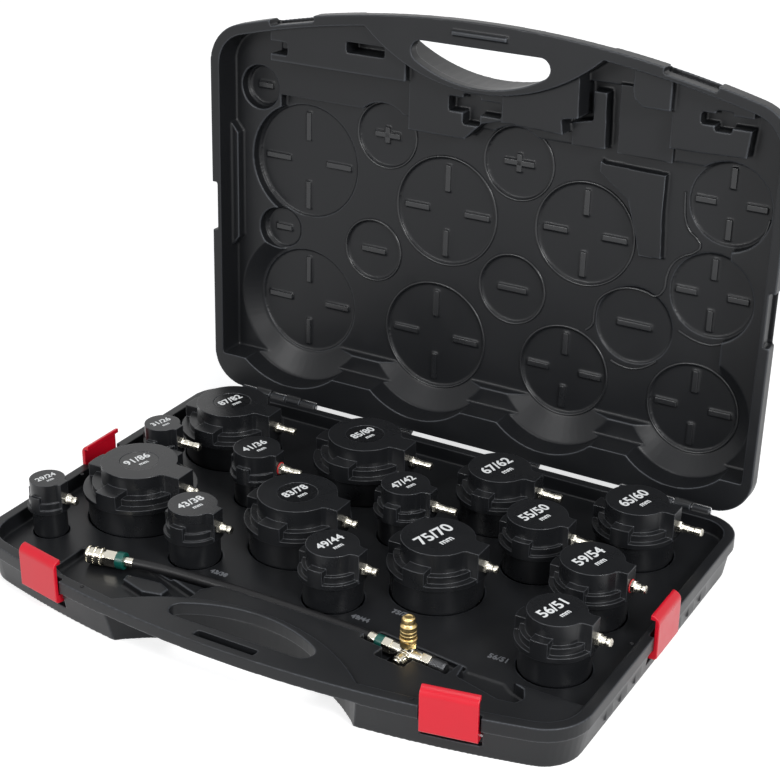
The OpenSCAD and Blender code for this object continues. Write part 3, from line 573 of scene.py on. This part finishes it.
def tube(name: str, points: Sequence[Triple], radius: float) -> Piece:
    """Draws a round tube through points.

    Args:
        name: The tube's name.
        points: The points on its middle line.
        radius: The tube's radius.

    Returns:
        The tube as a curve.
    """
    line = bpy.data.curves.new(name, "CURVE")
    line.dimensions = "3D"
    line.bevel_depth = radius * MM
    line.bevel_resolution = line.resolution_u = 6
    line.use_fill_caps = True
    spline = line.splines.new("BEZIER")
    spline.bezier_points.add(len(points) - 1)
    for point, place in zip(spline.bezier_points, points):
        point.co = Vector(place) * MM
        point.handle_left_type = point.handle_right_type = "AUTO"
    return add_object(name, line)


def lettering(words: str, width: float, thick: float) -> Piece:
    """Makes a line of plain figures as a solid mesh, centred on the origin and lying flat.

    Args:
        words: The figures.
        width: Length of the line.
        thick: Thickness of the figures.

    Returns:
        The mesh object.
    """
    deselect()
    bpy.ops.object.text_add(location=(0, 0, 0))
    text = bpy.context.object.data
    text.body = words
    text.size = 10 * MM
    text.align_x = text.align_y = "CENTER"
    text.offset = 0.22 * MM
    text.extrude = thick * MM / 2
    text.resolution_u = 4
    bpy.ops.object.convert(target="MESH")
    made = bpy.context.object
    scale = width * MM / span(made, 0)
    with whole_mesh():
        bpy.ops.transform.resize(value=(scale, scale, 1), center_override=(0, 0, 0))
    return made


@dataclass
class Case:
    """The two halves of the moulded case.

    Attributes:
        voxel: Fineness of the rounded surface.
        passes: Smoothing passes, which set how round the edges are.
        clearance: How far each half is drawn in, so that halves and latches clear each other when shut.
        most_faces: Triangles that each half may keep.
        open_angle: How far the lid stands open, in degrees.
        figures: Size figures on the tray's floor, with the middle of each.
        figure_w: Length of a line of figures.
        figure_t: Thickness of the figures, half of it above the floor.
        tray_z: Height of the tray's floor.
        vents: Places of the small vent plugs in the base's rim.
        vent: Profile of a plug.
        rim_z: Height of the base's rim.
        lid_floor_z: Height of the lid's floor when it is shut.
        lipped: Adapters whose recesses in the lid have a rounded lip.
        lip_r: Radius of a lip's or rib's round edge.
        lip_steps: Steps around a lip's round edge.
        lip_room: Room between an adapter's collar and the lip.
        ribs: Ribs that wander beside the other recesses, as points in plan when the lid is shut.
        bar_size: Width and height of a stiffening bar in the lid, its rounding, and its length beyond its share.
        bar_z: Height of a bar's middle when the lid is shut.
        spoke: Shares of the recess's radius for each of four bars: its length, and its middle's distance.
        single: Share for a bar alone.
        across: Share for the second bar of a cross.
        wide_collar: Adapters with a wider collar have four bars over them.
        narrow_collar: Adapters with a narrower collar have no room around them in their recess.
        room: Room around the other collars.
        crossed: Adapters with a cross of two bars over them.
    """

    voxel: float = 0.9
    passes: int = 4
    clearance: float = 0.25
    most_faces: int = 180_000
    open_angle: float = 92.0
    figures: tuple[tuple[str, float, float], ...] = (
        ("49/44", 60, -79), ("75/70", 84, -56.5), ("56/51", 178, -73), ("43/38", -74, -80),
    )
    figure_w: float = 16.0
    figure_t: float = 0.8
    tray_z: float = 25.0
    vents: tuple[Pair, ...] = ((-142.9, -169), (155.8, -167), (-262.9, -21), (262.9, -21))
    vent: Profile = ((-0.9, 1.6), (0.1, 1.6), (0.3, 1.35), (0.3, 1.1), (0.08, 0.9))
    rim_z: float = 38.0
    lid_floor_z: float = 75.4
    lipped: tuple[int, ...] = (3, 4, 5, 6, 7, 11, 12, 13, 14)
    lip_r: float = 1.1
    lip_steps: int = 10
    lip_room: float = 5.2
    ribs: tuple[Sequence[Pair], ...] = (
        (
            (178, -64), (178.8, -51.4), (180, -42), (184.5, -32), (191.5, -26), (195.5, -20), (191.5, -14),
            (181.5, -8.3), (173.5, -0.8), (168.7, 12), (167, 25), (160.5, 31.5), (150, 29.5), (134, 29.5),
            (119, 35.9), (109, 45.7), (105.5, 58.8), (104.5, 70), (99, 76),
        ),
        (
            (252, -53), (248.5, -39), (240.5, -28.4), (229.5, -22.5), (227, -17), (231.5, -10.5), (242.4, -1),
            (248.5, 10.7),
        ),
        ((184, 58), (190, 60.5), (198.5, 63.5), (208, 64.8), (217, 63.8), (230, 57.6)),
        ((124.5, 99), (134, 101.8), (146.4, 102), (158.4, 97.1), (167, 90.4)),
    )
    bar_size: tuple[float, float, float, float] = (5.2, 1.8, 0.8, 0.2)
    bar_z: float = 76.05
    spoke: Pair = (0.5, 0.62)
    single: float = 0.9
    across: float = 0.5
    wide_collar: float = 62.5
    narrow_collar: float = 40.0
    room: float = 4.0
    crossed: tuple[int, ...] = (11, 13)

    def hinge_turn(self, angle: float) -> Matrix:
        """Gives the turn of the lid about its hinge.

        Args:
            angle: Degrees towards shut.

        Returns:
            The matrix.
        """
        hinge = next(j for j in frame["joints"] if j["name"] == "lid_hinge")
        place = Vector(hinge["pos_m"])
        return Matrix.Translation(place) @ Matrix.Rotation(math.radians(angle), 4, "X") @ Matrix.Translation(-place)

    def moulded(self, node: str, shut: float) -> Piece:
        """Copies a half of the case and rounds every edge, as blow moulding does.

        Args:
            node: The node of the frame.
            shut: Degrees that lay its walls along the grid while it is rounded.

        Returns:
            The rounded copy.
        """
        copy = merged_copy(node)
        copy.data.transform(self.hinge_turn(shut))
        apply_modifier(copy, "REMESH", mode="VOXEL", voxel_size=self.voxel * MM)
        apply_modifier(copy, "SMOOTH", factor=0.5, iterations=self.passes)
        apply_modifier(copy, "DISPLACE", strength=-self.clearance * MM, mid_level=0.0)
        triangles = 2 * len(copy.data.polygons)
        apply_modifier(copy, "DECIMATE", ratio=min(1.0, self.most_faces / triangles))
        copy.data.transform(self.hinge_turn(-shut))
        activate(copy)
        bpy.ops.object.shade_smooth()
        return copy

    def raise_figures(self) -> None:
        """Sets the size figures on the tray's floor, to be read from the handle."""
        for number, (figures, x, y) in enumerate(self.figures, 1):
            raised = lettering(figures, self.figure_w, self.figure_t)
            raised.location = (x * MM, y * MM, self.tray_z * MM)
            # The figures carry a lighter colour: a painted highlight.
            finish_piece(raised, f"tray_figures_{number}", PAINTED_HIGHLIGHT_FIGURES, Body.BASE.value)

    def plug_vents(self) -> None:
        """Sets a small dished plug in each vent of the rim."""
        plug = turned(self.vent, SMALL_SIDES, Shade.MOULDED)
        for number, (x, y) in enumerate(self.vents, 1):
            copy = add_object("vent", plug.data.copy())
            copy.location = (x * MM, y * MM, self.rim_z * MM)
            finish_piece(copy, f"vent_plug_{number}", HOSE_RUBBER, Body.BASE.value)
        bpy.data.objects.remove(plug)

    def mould_lips(self) -> None:
        """Rounds the lips of the lid's recesses, and draws the ribs beside them."""
        swing = self.hinge_turn(-self.open_angle)
        for number in self.lipped:
            x, y, collar, _ = Adapters.places[number - 1]
            r = collar / 2 + self.lip_room
            angles = [math.tau * k / self.lip_steps for k in range(self.lip_steps)]
            section = [(self.lip_r * math.sin(a), r + self.lip_r * math.cos(a)) for a in angles]
            lip = turned(section, WIDE_SIDES, Shade.ROUND, Ends.RING)
            lip.matrix_world = swing @ Matrix.Translation(Vector((x, y, self.lid_floor_z)) * MM)
            finish_piece(lip, f"lid_lip_{number:02d}", LIP_PLASTIC, Body.LID.value)
        for number, points in enumerate(self.ribs, 1):
            rib = tube(f"lid_rib_{number}", [(x, y, self.lid_floor_z) for x, y in points], self.lip_r)
            activate(rib)
            bpy.ops.object.convert(target="MESH")
            soft_shade(rib, Shade.ROUND)
            rib.matrix_world = swing
            finish_piece(rib, f"lid_rib_{number}", LIP_PLASTIC, Body.LID.value)

    def bar(self, length: float, middle: float, turn: float) -> Piece:
        """Models one stiffening bar with rounded edges.

        Args:
            length: The bar's share of the recess's radius.
            middle: Distance of its middle from the recess's centre.
            turn: Its direction in plan, in degrees.

        Returns:
            The bar, lying about the recess's centre.
        """
        width, height, edge, extra = self.bar_size
        deselect()
        bpy.ops.mesh.primitive_cube_add(size=1)
        made = bpy.context.object
        size = ((length + extra) * MM, width * MM, height * MM)
        with whole_mesh():
            bpy.ops.transform.resize(value=size, center_override=(0, 0, 0))
            bpy.ops.mesh.bevel(offset=edge * MM, segments=3, affect="EDGES")
            bpy.ops.transform.translate(value=(middle * MM, 0, 0))
        made.rotation_euler = (0, 0, math.radians(turn))
        bpy.ops.object.transform_apply(rotation=True)
        return made

    def mould_bars(self) -> None:
        """Rounds the bars in the lid's recesses: four in a wide one, one or a cross in a narrow one."""
        swing = self.hinge_turn(-self.open_angle)
        for number, (x, y, collar, _) in enumerate(Adapters.places, 1):
            r = collar / 2 + (self.room if collar > self.narrow_collar else 0.0)
            if collar > self.wide_collar:
                length, middle = self.spoke
                made = [self.bar(length * r, middle * r, turn) for turn in (0, 90, 180, 270)]
            else:
                made = [self.bar(self.single * r, 0.0, 0)]
            if number in self.crossed:
                made.append(self.bar(self.across * r, 0.0, 90))
            first, *others = made
            activate(first)
            for other in others:
                other.select_set(True)
            if others:
                bpy.ops.object.join()
            soft_shade(first)
            first.matrix_world = swing @ Matrix.Translation(Vector((x, y, self.bar_z)) * MM)
            finish_piece(first, f"lid_bars_{number:02d}", LIP_PLASTIC, Body.LID.value)

    def build(self) -> None:
        """Makes both halves with their small marks, and paints the hinge pins."""
        for body, shut in ((Body.BASE, 0.0), (Body.LID, self.open_angle)):
            node = body.value + "_shell"
            half = self.moulded(node, shut)
            finish_piece(half, "case_" + body.value, CASE_PLASTIC, body.value, [node])
        self.raise_figures()
        self.plug_vents()
        self.mould_lips()
        self.mould_bars()
        for node in ("hinge_pin_left", "hinge_pin_right"):
            paint_node(node, STEEL_WIRE)


@dataclass
class Latches:
    """The four snap latches and their pins.

    Attributes:
        places: Where the latches are.
        edge: Rounding of their edges.
        steps: Steps across the rounding.
    """

    places: tuple[str, ...] = ("front_left", "front_right", "left", "right")
    edge: float = 1.2
    steps: int = 4

    def build(self) -> None:
        """Rounds each latch's edges and paints its pin."""
        for place in self.places:
            node = "latch_" + place
            latch = eased_copy(node, self.edge, self.steps)
            finish_piece(latch, "snap_" + node, LATCH_PLASTIC, place + "_latch", [node])
            paint_node("latch_pin_" + place, STEEL_WIRE)


@dataclass
class Adapters:
    """The hose adapters with their nipples, labels, printed sizes and seals.

    Attributes:
        body: What the adapters' bodies are called, before their two digits.
        places: Each adapter's place in plan, and its collar's and cap's diameters.
        edge: Rounding of a moulded edge.
        steps: Steps across the rounding.
        metal_edge: Rounding of a turned edge.
        large_step: Collar diameter less the large hose size.
        small_step: Collar diameter less the small hose size.
        label_cap: Caps wider than this carry a round label.
        disc: Profile of a label, from the cap's top.
        ink: Thickness of the print.
        print_w: Length of the sizes, as a share of the cap's diameter.
        label_print_w: Length of the sizes on a label.
        unit_w: Length of the unit, as a share of the sizes'.
        drops: How far sizes and unit stand below the middle, as shares of the sizes' height.
        reading: Angle of the print from +X, in degrees.
        sealed: Adapters whose nipples show a red seal.
        ring: Profile of a seal.
    """

    body: str = "adapter_set_"
    places: tuple[tuple[float, float, float, float], ...] = (
        (-190, 109, 94, 65), (-218, 40, 38, 32), (-119, 44, 48, 41), (-51, 114, 92, 65),
        (80, 119, 74, 54), (203, 126, 72, 52), (25, 53, 54, 41), (143, 62, 62, 50),
        (-191, -29, 98, 66), (-238, -94, 36, 30), (-107, -67, 50, 41), (-44, -7, 90, 67),
        (25, -63, 56, 43), (91, -11, 82, 60), (210, 21, 66, 51), (218, -60, 63, 46),
    )
    edge: float = 1.1
    steps: int = 3
    metal_edge: float = 0.35
    large_step: float = 7.0
    small_step: float = 12.0
    label_cap: float = 64.0
    disc: Profile = ((-0.78, 16.8), (-0.32, 16.8), (-0.2, 16.65), (-0.2, 15.2), (-0.26, 15.0))
    ink: float = 0.12
    print_w: float = 0.62
    label_print_w: float = 25.2
    unit_w: float = 0.36
    drops: Pair = (-0.35, 0.7)
    reading: float = 75.0
    sealed: tuple[int, ...] = (3, 15)
    ring: Profile = ((0.0, 4.6), (0.0, 5.3), (0.25, 5.6), (0.6, 5.6), (0.85, 5.3), (0.85, 4.6))

    def build(self) -> None:
        """Makes every adapter in turn."""
        for number, (x, y, collar, cap) in enumerate(self.places, 1):
            key = f"{number:02d}"
            body = self.body + key
            node = "adapter_" + key
            nipple = "nipple_" + key
            moulded = eased_copy(node, self.edge, self.steps)
            finish_piece(moulded, "hose_" + node, ADAPTER_PLASTIC, body, [node])
            plated = eased_copy(nipple, self.metal_edge)
            finish_piece(plated, "air_" + nipple, NICKEL_PLATE, body, [nipple])
            middle = Vector((x * MM, y * MM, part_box(node)[1].z))
            width = cap * self.print_w
            if cap > self.label_cap:
                self.label(key, middle)
                width = self.label_print_w
            self.print_size(key, middle, collar, width)
            if number in self.sealed:
                self.seal(key)

    def label(self, key: str, middle: Vector) -> None:
        """Lays a round label in the recess of a large cap.

        Args:
            key: The adapter's two digits.
            middle: The middle of the cap's top.
        """
        disc = turned(self.disc, WIDE_SIDES, Shade.LABEL)
        disc.location = middle
        finish_piece(disc, "round_label_" + key, LABEL_FILM, self.body + key)

    def print_size(self, key: str, middle: Vector, collar: float, width: float) -> None:
        """Prints the adapter's two hose sizes on its cap, and their unit below them.

        Args:
            key: The adapter's two digits.
            middle: The middle of the cap's top.
            collar: The collar's diameter.
            width: Length of the first line.
        """
        first = lettering(f"{collar - self.large_step:.0f}/{collar - self.small_step:.0f}", width, self.ink)
        second = lettering("mm", width * self.unit_w, self.ink)
        tall = span(first, 1)
        turn = math.radians(self.reading)
        for line, share in zip((first, second), self.drops):
            down = tall * share
            line.location = middle + Vector((down * math.sin(turn), -down * math.cos(turn), 0))
            line.rotation_euler = (0, 0, turn)
        activate(first)
        second.select_set(True)
        bpy.ops.object.join()
        finish_piece(first, "printed_size_" + key, WHITE_INK, self.body + key)

    def seal(self, key: str) -> None:
        """Puts a red sealing ring at the root of a nipple.

        Args:
            key: The adapter's two digits.
        """
        low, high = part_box("nipple_" + key)
        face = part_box("adapter_" + key)[1].x
        ring = turned(self.ring, RING_SIDES, Shade.ROUND, Ends.RING)
        ring.location = (face, (low.y + high.y) / 2, (low.z + high.z) / 2)
        ring.rotation_euler = (0, math.radians(90), 0)
        finish_piece(ring, "nipple_seal_" + key, RED_SEAL, self.body + key)


@dataclass
class TestHose:
    """The test hose with its coupler, relief valve and bleed knob.

    Attributes:
        route: The hose's route in plan, from the coupler's tail to the ferrule.
        height: Height of the hose's middle.
        diameter: The hose's diameter.
        edge: Rounding of a turned edge.
        nickel: Fittings that keep their solid's shape, in nickel plate.
        sleeve_x: Where the coupler's sleeve begins, from the hose's end.
        sleeve_l: Length of the sleeve.
        bore_r: Radius of the sleeve's bore.
        beads: Where the sleeve's three beads begin.
        bead: Profile of a bead.
        bead_grip: Knurl of a bead.
        cross_mid: Distance of the cross fitting's middle from the hose's end.
        plug_x: Where the end plug begins.
        neck: Profile of the plug before its thread.
        ridge: Profile of one turn of the thread.
        ridges: Where the turns begin.
        tip: Profile of the plug after its thread.
        knob_reach: Distance of the bleed knob from the fitting's axis.
        knob: Profile of the bleed knob: a stub, a grip and a narrow end.
        knob_grip: Knurl of the knob.
        cap: Profile of the relief valve's cap, from the fitting's axis up.
        barrel: Profile of the barrel under it.
        barrel_grip: Knurl of the barrel.
    """

    route: tuple[Pair, ...] = (
        (-141.2, -105.1), (-129.2, -103), (-115.1, -100.9), (-106.5, -100), (-98, -99.3), (-88, -98.7),
        (-78, -98.3), (-65.5, -97.9), (-52.9, -97.7), (-37.8, -97.5), (-22.7, -97.4), (-5.1, -97.3),
        (12.4, -97.3), (27.4, -97.3), (42.5, -97.5), (51, -97.7), (59.6, -98), (71.6, -98.9),
        (81.7, -100.1),
    )
    height: float = 26.8
    diameter: float = 9.0
    edge: float = 0.4
    nickel: tuple[str, ...] = ("coupler_body", "ferrule", "hose_nut", "cross_fitting", "end_nut")
    sleeve_x: float = -42.4
    sleeve_l: float = 15.0
    bore_r: float = 5.65
    beads: tuple[float, ...] = (0.0, 6.0, 12.0)
    bead: Profile = ((0.0, 6.7), (0.3, 7.2), (0.9, 7.5), (2.1, 7.5), (2.7, 7.2), (3.0, 6.7))
    bead_grip: Grip = (0.8, 2.2, 0.35)
    cross_mid: float = 36.0
    plug_x: float = 58.0
    neck: Profile = ((0.0, 4.8), (0.6, 4.8))
    ridge: Profile = ((0.0, 4.85), (0.4, 5.4), (0.7, 5.4), (1.1, 4.85))
    ridges: tuple[float, ...] = (1.0, 2.3, 3.6, 4.9, 6.2, 7.5, 8.8, 10.1)
    tip: Profile = ((11.8, 4.9), (13.0, 4.2))
    knob_reach: float = 7.55
    knob: Profile = (
        (-4.9, 2.2), (0.05, 2.2), (0.05, 3.6), (0.5, 4.2), (1.0, 4.5), (6.2, 4.5), (6.8, 4.2), (7.1, 3.4),
        (8.6, 3.3), (9.0, 2.8),
    )
    knob_grip: Grip = (1.0, 6.2, 0.4)
    cap: Profile = (
        (27.6, 0.5), (27.6, 4.1), (22.0, 4.1), (22.0, 5.8), (22.6, 6.4), (25.4, 6.4), (26.4, 5.3), (27.4, 4.6),
        (28.2, 4.6), (28.9, 5.3), (31.4, 5.3), (32.5, 4.7), (33.0, 3.7), (33.0, 3.0), (32.6, 2.5),
    )
    barrel: Profile = (
        (15.0, 4.05), (15.0, 6.0), (15.6, 6.5), (18.2, 6.5), (18.6, 6.1), (19.2, 6.1), (19.6, 6.4), (21.2, 6.4),
        (21.6, 6.0), (21.6, 4.05),
    )
    barrel_grip: Grip = (15.6, 18.2, 0.3)

    def lay(self, piece: Piece, end: HoseEnd, along: float, turn: float = 0.0) -> Vector:
        """Lays a piece that was turned about Z along the hose's line at one of its ends.

        Args:
            piece: The turned object.
            end: Which end of the hose.
            along: Distance from that end to the piece's own origin, in the hose's direction.
            turn: Further turn about the vertical, in degrees.

        Returns:
            The direction in which the piece's own Z now points.
        """
        first, then = self.route[:2] if end is HoseEnd.COUPLER else self.route[-2:]
        run = (Vector(then) - Vector(first)).normalized()
        spot = Vector(self.route[end.value]) + run * along
        heading = math.atan2(run.y, run.x) + math.radians(turn)
        piece.location = Vector((spot.x, spot.y, self.height)) * MM
        piece.rotation_euler = (0, math.radians(90), heading)
        return Vector((math.cos(heading), math.sin(heading), 0))

    def stand(self, piece: Piece) -> None:
        """Stands a turned piece upright over the middle of the cross fitting."""
        self.lay(piece, HoseEnd.VALVE, self.cross_mid)
        piece.rotation_euler = (0, 0, 0)

    def hose(self) -> None:
        """Lays the hose along its route as one smooth tube."""
        hose = tube("test_hose", [(x, y, self.height) for x, y in self.route], self.diameter / 2)
        hose.data.materials.append(HOSE_RUBBER.material())
        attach(hose, Body.HOSE.value)
        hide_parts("hose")

    def sleeve(self) -> None:
        """Turns the coupler's sleeve: three coin-edged beads with grooves between them."""
        steps = [(start + z, r) for start in self.beads for z, r in self.bead]
        profile = [(0.0, self.bore_r), *steps, (self.sleeve_l, self.bore_r)]
        low, high, depth = self.bead_grip
        grips = [(start + low, start + high, depth) for start in self.beads]
        ring = turned(profile, RING_SIDES, Shade.KNURLED, Ends.RING, grips)
        self.lay(ring, HoseEnd.COUPLER, self.sleeve_x)
        finish_piece(ring, "knurled_sleeve", NICKEL_PLATE, Body.SLEEVE.value, ["coupler_sleeve"])

    def end_plug(self) -> None:
        """Turns the end plug with its thread, drawn as close ridges."""
        thread = [(start + z, r) for start in self.ridges for z, r in self.ridge]
        plug = turned([*self.neck, *thread, *self.tip], RING_SIDES, Shade.TURNED)
        self.lay(plug, HoseEnd.VALVE, self.plug_x)
        finish_piece(plug, "threaded_end_plug", BLACKENED_STEEL, Body.HOSE.value, ["end_plug"])

    def bleed_knob(self) -> None:
        """Turns the bleed knob and knurls its grip."""
        knob = turned(self.knob, RING_SIDES, Shade.KNURLED, grips=[self.knob_grip])
        knob.location += self.lay(knob, HoseEnd.VALVE, self.cross_mid, -90) * self.knob_reach * MM
        finish_piece(knob, "plated_bleed_knob", NICKEL_PLATE, Body.KNOB.value, ["bleed_knob"])

    def relief_valve(self) -> None:
        """Turns the relief valve's cap with a dished top, and the knurled barrel under it."""
        cap = turned(self.cap, RING_SIDES, Shade.TURNED)
        self.stand(cap)
        finish_piece(cap, "brass_relief_cap", TURNED_BRASS, Body.VALVE_CAP.value, ["relief_cap"])
        barrel = turned(self.barrel, RING_SIDES, Shade.KNURLED, Ends.RING, [self.barrel_grip])
        self.stand(barrel)
        finish_piece(barrel, "knurled_brass_barrel", TURNED_BRASS, Body.HOSE.value)
        self.fitting("relief_body", "brass", TURNED_BRASS)

    def fitting(self, node: str, prefix: str, finish: Finish) -> None:
        """Copies a fitting that keeps its solid's shape, with its edges rounded.

        Args:
            node: The node of the frame.
            prefix: What goes before the node's name in the piece's name.
            finish: Its surface finish.
        """
        finish_piece(eased_copy(node, self.edge), f"{prefix}_{node}", finish, Body.HOSE.value, [node])

    def build(self) -> None:
        """Makes the hose and its fittings."""
        self.hose()
        for node in self.nickel:
            self.fitting(node, "plated", NICKEL_PLATE)
        for node in ("coupler_ring", "ferrule_ring"):
            self.fitting(node, "green", GREEN_NYLON)
        self.sleeve()
        self.end_plug()
        self.bleed_knob()
        self.relief_valve()


@dataclass(frozen=True)
class Lamp:
    """A soft square lamp.

    Attributes:
        name: The lamp's name.
        place_m: Where it hangs.
        aim_m: The point that it faces.
        size_m: Width of its face.
        power: Its power in watts.
    """

    name: str
    place_m: Triple
    aim_m: Triple
    size_m: float
    power: float

    def hang(self) -> None:
        """Adds the lamp to the scene."""
        light = bpy.data.lights.new(self.name, "AREA")
        light.shape = "SQUARE"
        light.size = self.size_m
        light.energy = self.power
        made = add_object(self.name, light)
        made.location = self.place_m
        made.rotation_euler = (Vector(self.aim_m) - Vector(self.place_m)).to_track_quat("-Z", "Y").to_euler()


@dataclass
class Studio:
    """The camera, lamps, floor and background.

    Attributes:
        eye: The camera's place.
        azimuth: Turn of the camera to the right of the front, in degrees.
        elevation: Angle of the camera above the horizon, in degrees.
        roll: Turn of the picture, in degrees.
        lens: Focal length for a sensor 36 mm wide.
        shift: How far the picture is shifted, as a share of its size.
        even_light: Strength of the even light from all around.
        even_colour: Its colour, sRGB.
        paper: Colour of the floor, sRGB.
        glow: Brightness added to the floor for the viewer, near the case and far from it.
        glow_m: Distances between which it grows.
        lamps: The lamps.
    """

    eye: Triple = (653.2, -1066.9, 766.8)
    azimuth: float = 30.37
    elevation: float = 26.20
    roll: float = 0.27
    lens: float = 80.26
    shift: Pair = (0.0166, 0.0352)
    even_light: float = 0.30
    even_colour: str = "#f2f5f9"
    paper: str = "#d9d9d9"
    glow: Pair = (0.62, 0.84)
    glow_m: Pair = (0.7, 2.2)
    lamps: tuple[Lamp, ...] = (
        Lamp("key_lamp", (-0.8, -1.9, 1.1), (0, 0.05, 0.1), 0.7, 21),
        Lamp("fill_lamp", (0.75, -1.9, 0.75), (0.05, 0.0, 0.06), 0.5, 8),
        Lamp("side_lamp", (1.7, -0.8, 1.3), (0.1, 0.05, 0.1), 0.6, 34),
        Lamp("top_lamp", (0.1, -0.2, 2.1), (0, 0.05, 0.1), 1.0, 11),
    )

    def camera(self) -> None:
        """Sets the camera at the photograph's viewpoint."""
        turn, rise = math.radians(self.azimuth), math.radians(self.elevation)
        back = Vector((math.sin(turn) * math.cos(rise), -math.cos(turn) * math.cos(rise), math.sin(rise)))
        right = Vector((math.cos(turn), math.sin(turn), 0))
        up = back.cross(right)
        facing = Matrix((right, up, back)).transposed().to_4x4()
        lens = bpy.data.cameras.new("camera")
        lens.lens = self.lens
        lens.sensor_width = 36
        lens.shift_x, lens.shift_y = self.shift
        lens.clip_start, lens.clip_end = 0.05, 30
        made = add_object("camera", lens)
        tilt = Matrix.Rotation(math.radians(self.roll), 4, "Z")
        made.matrix_world = Matrix.Translation(Vector(self.eye) * MM) @ facing @ tilt
        bpy.context.scene.camera = made

    def white_for_viewer(self, tree: Tree) -> Socket:
        """Adds a factor that is 1 for camera, mirror and glass rays and 0 for other light.

        Args:
            tree: The nodes of a floor or world.

        Returns:
            The factor.
        """
        path = add_node(tree, "LightPath", {}, {})
        seen = path.outputs["Is Camera Ray"]
        for ray in ("Is Glossy Ray", "Is Transmission Ray"):
            both = {0: seen, 1: path.outputs[ray]}
            seen = add_node(tree, "Math", {"operation": "ADD", "use_clamp": True}, both).outputs[0]
        return seen

    def world(self) -> None:
        """Makes the white background with its soft even light."""
        made = bpy.data.worlds.new("white studio")
        bpy.context.scene.world = made
        made.use_nodes = True
        tree = made.node_tree
        tree.nodes.clear()
        seen = self.white_for_viewer(tree)
        even = add_node(tree, "Background", {"Color": linear(self.even_colour), "Strength": self.even_light}, {})
        white = add_node(tree, "Background", {"Color": WHITE, "Strength": 1.0}, {})
        mix = add_node(tree, "MixShader", {}, {0: seen, 1: even.outputs[0], 2: white.outputs[0]})
        add_node(tree, "OutputWorld", {}, {"Surface": mix.outputs[0]})

    def floor(self) -> None:
        """Lays the white floor, which keeps the object's shadow and stays white where the lamps don't reach."""
        deselect()
        bpy.ops.mesh.primitive_plane_add(size=12, location=(0, 0, -0.0005))
        made = bpy.context.object
        made.name = "studio_floor"
        material = bpy.data.materials.new("white floor paper")
        material.use_nodes = True
        tree = material.node_tree
        tree.nodes.clear()
        seen = self.white_for_viewer(tree)
        paper = add_node(tree, "BsdfDiffuse", {"Color": linear(self.paper)}, {})
        place = add_node(tree, "TexCoord", {}, {}).outputs["Object"]
        away = add_node(tree, "VectorMath", {"operation": "LENGTH"}, {0: place}).outputs["Value"]
        (near, far), (low, high) = self.glow_m, self.glow
        lift = add_node(
            tree, "MapRange", {"From Min": near, "From Max": far, "To Min": low, "To Max": high}, {"Value": away}
        )
        glow = add_node(tree, "Emission", {"Color": WHITE}, {"Strength": lift.outputs[0]})
        both = add_node(tree, "AddShader", {}, {0: paper.outputs[0], 1: glow.outputs[0]})
        mix = add_node(tree, "MixShader", {}, {0: seen, 1: paper.outputs[0], 2: both.outputs[0]})
        add_node(tree, "OutputMaterial", {}, {"Surface": mix.outputs[0]})
        made.data.materials.append(material)

    def build(self) -> None:
        """Makes the whole studio."""
        self.camera()
        self.world()
        self.floor()
        for lamp in self.lamps:
            lamp.hang()
        bpy.context.scene.view_settings.view_transform = "Standard"


def main() -> None:
    """Builds the studio and every sub-assembly."""
    logging.basicConfig(level=logging.INFO, format="%(name)s: %(message)s")
    Studio().build()
    TestHose().build()
    Case().build()
    Latches().build()
    Adapters().build()


if __name__ == "__main__":
    main()
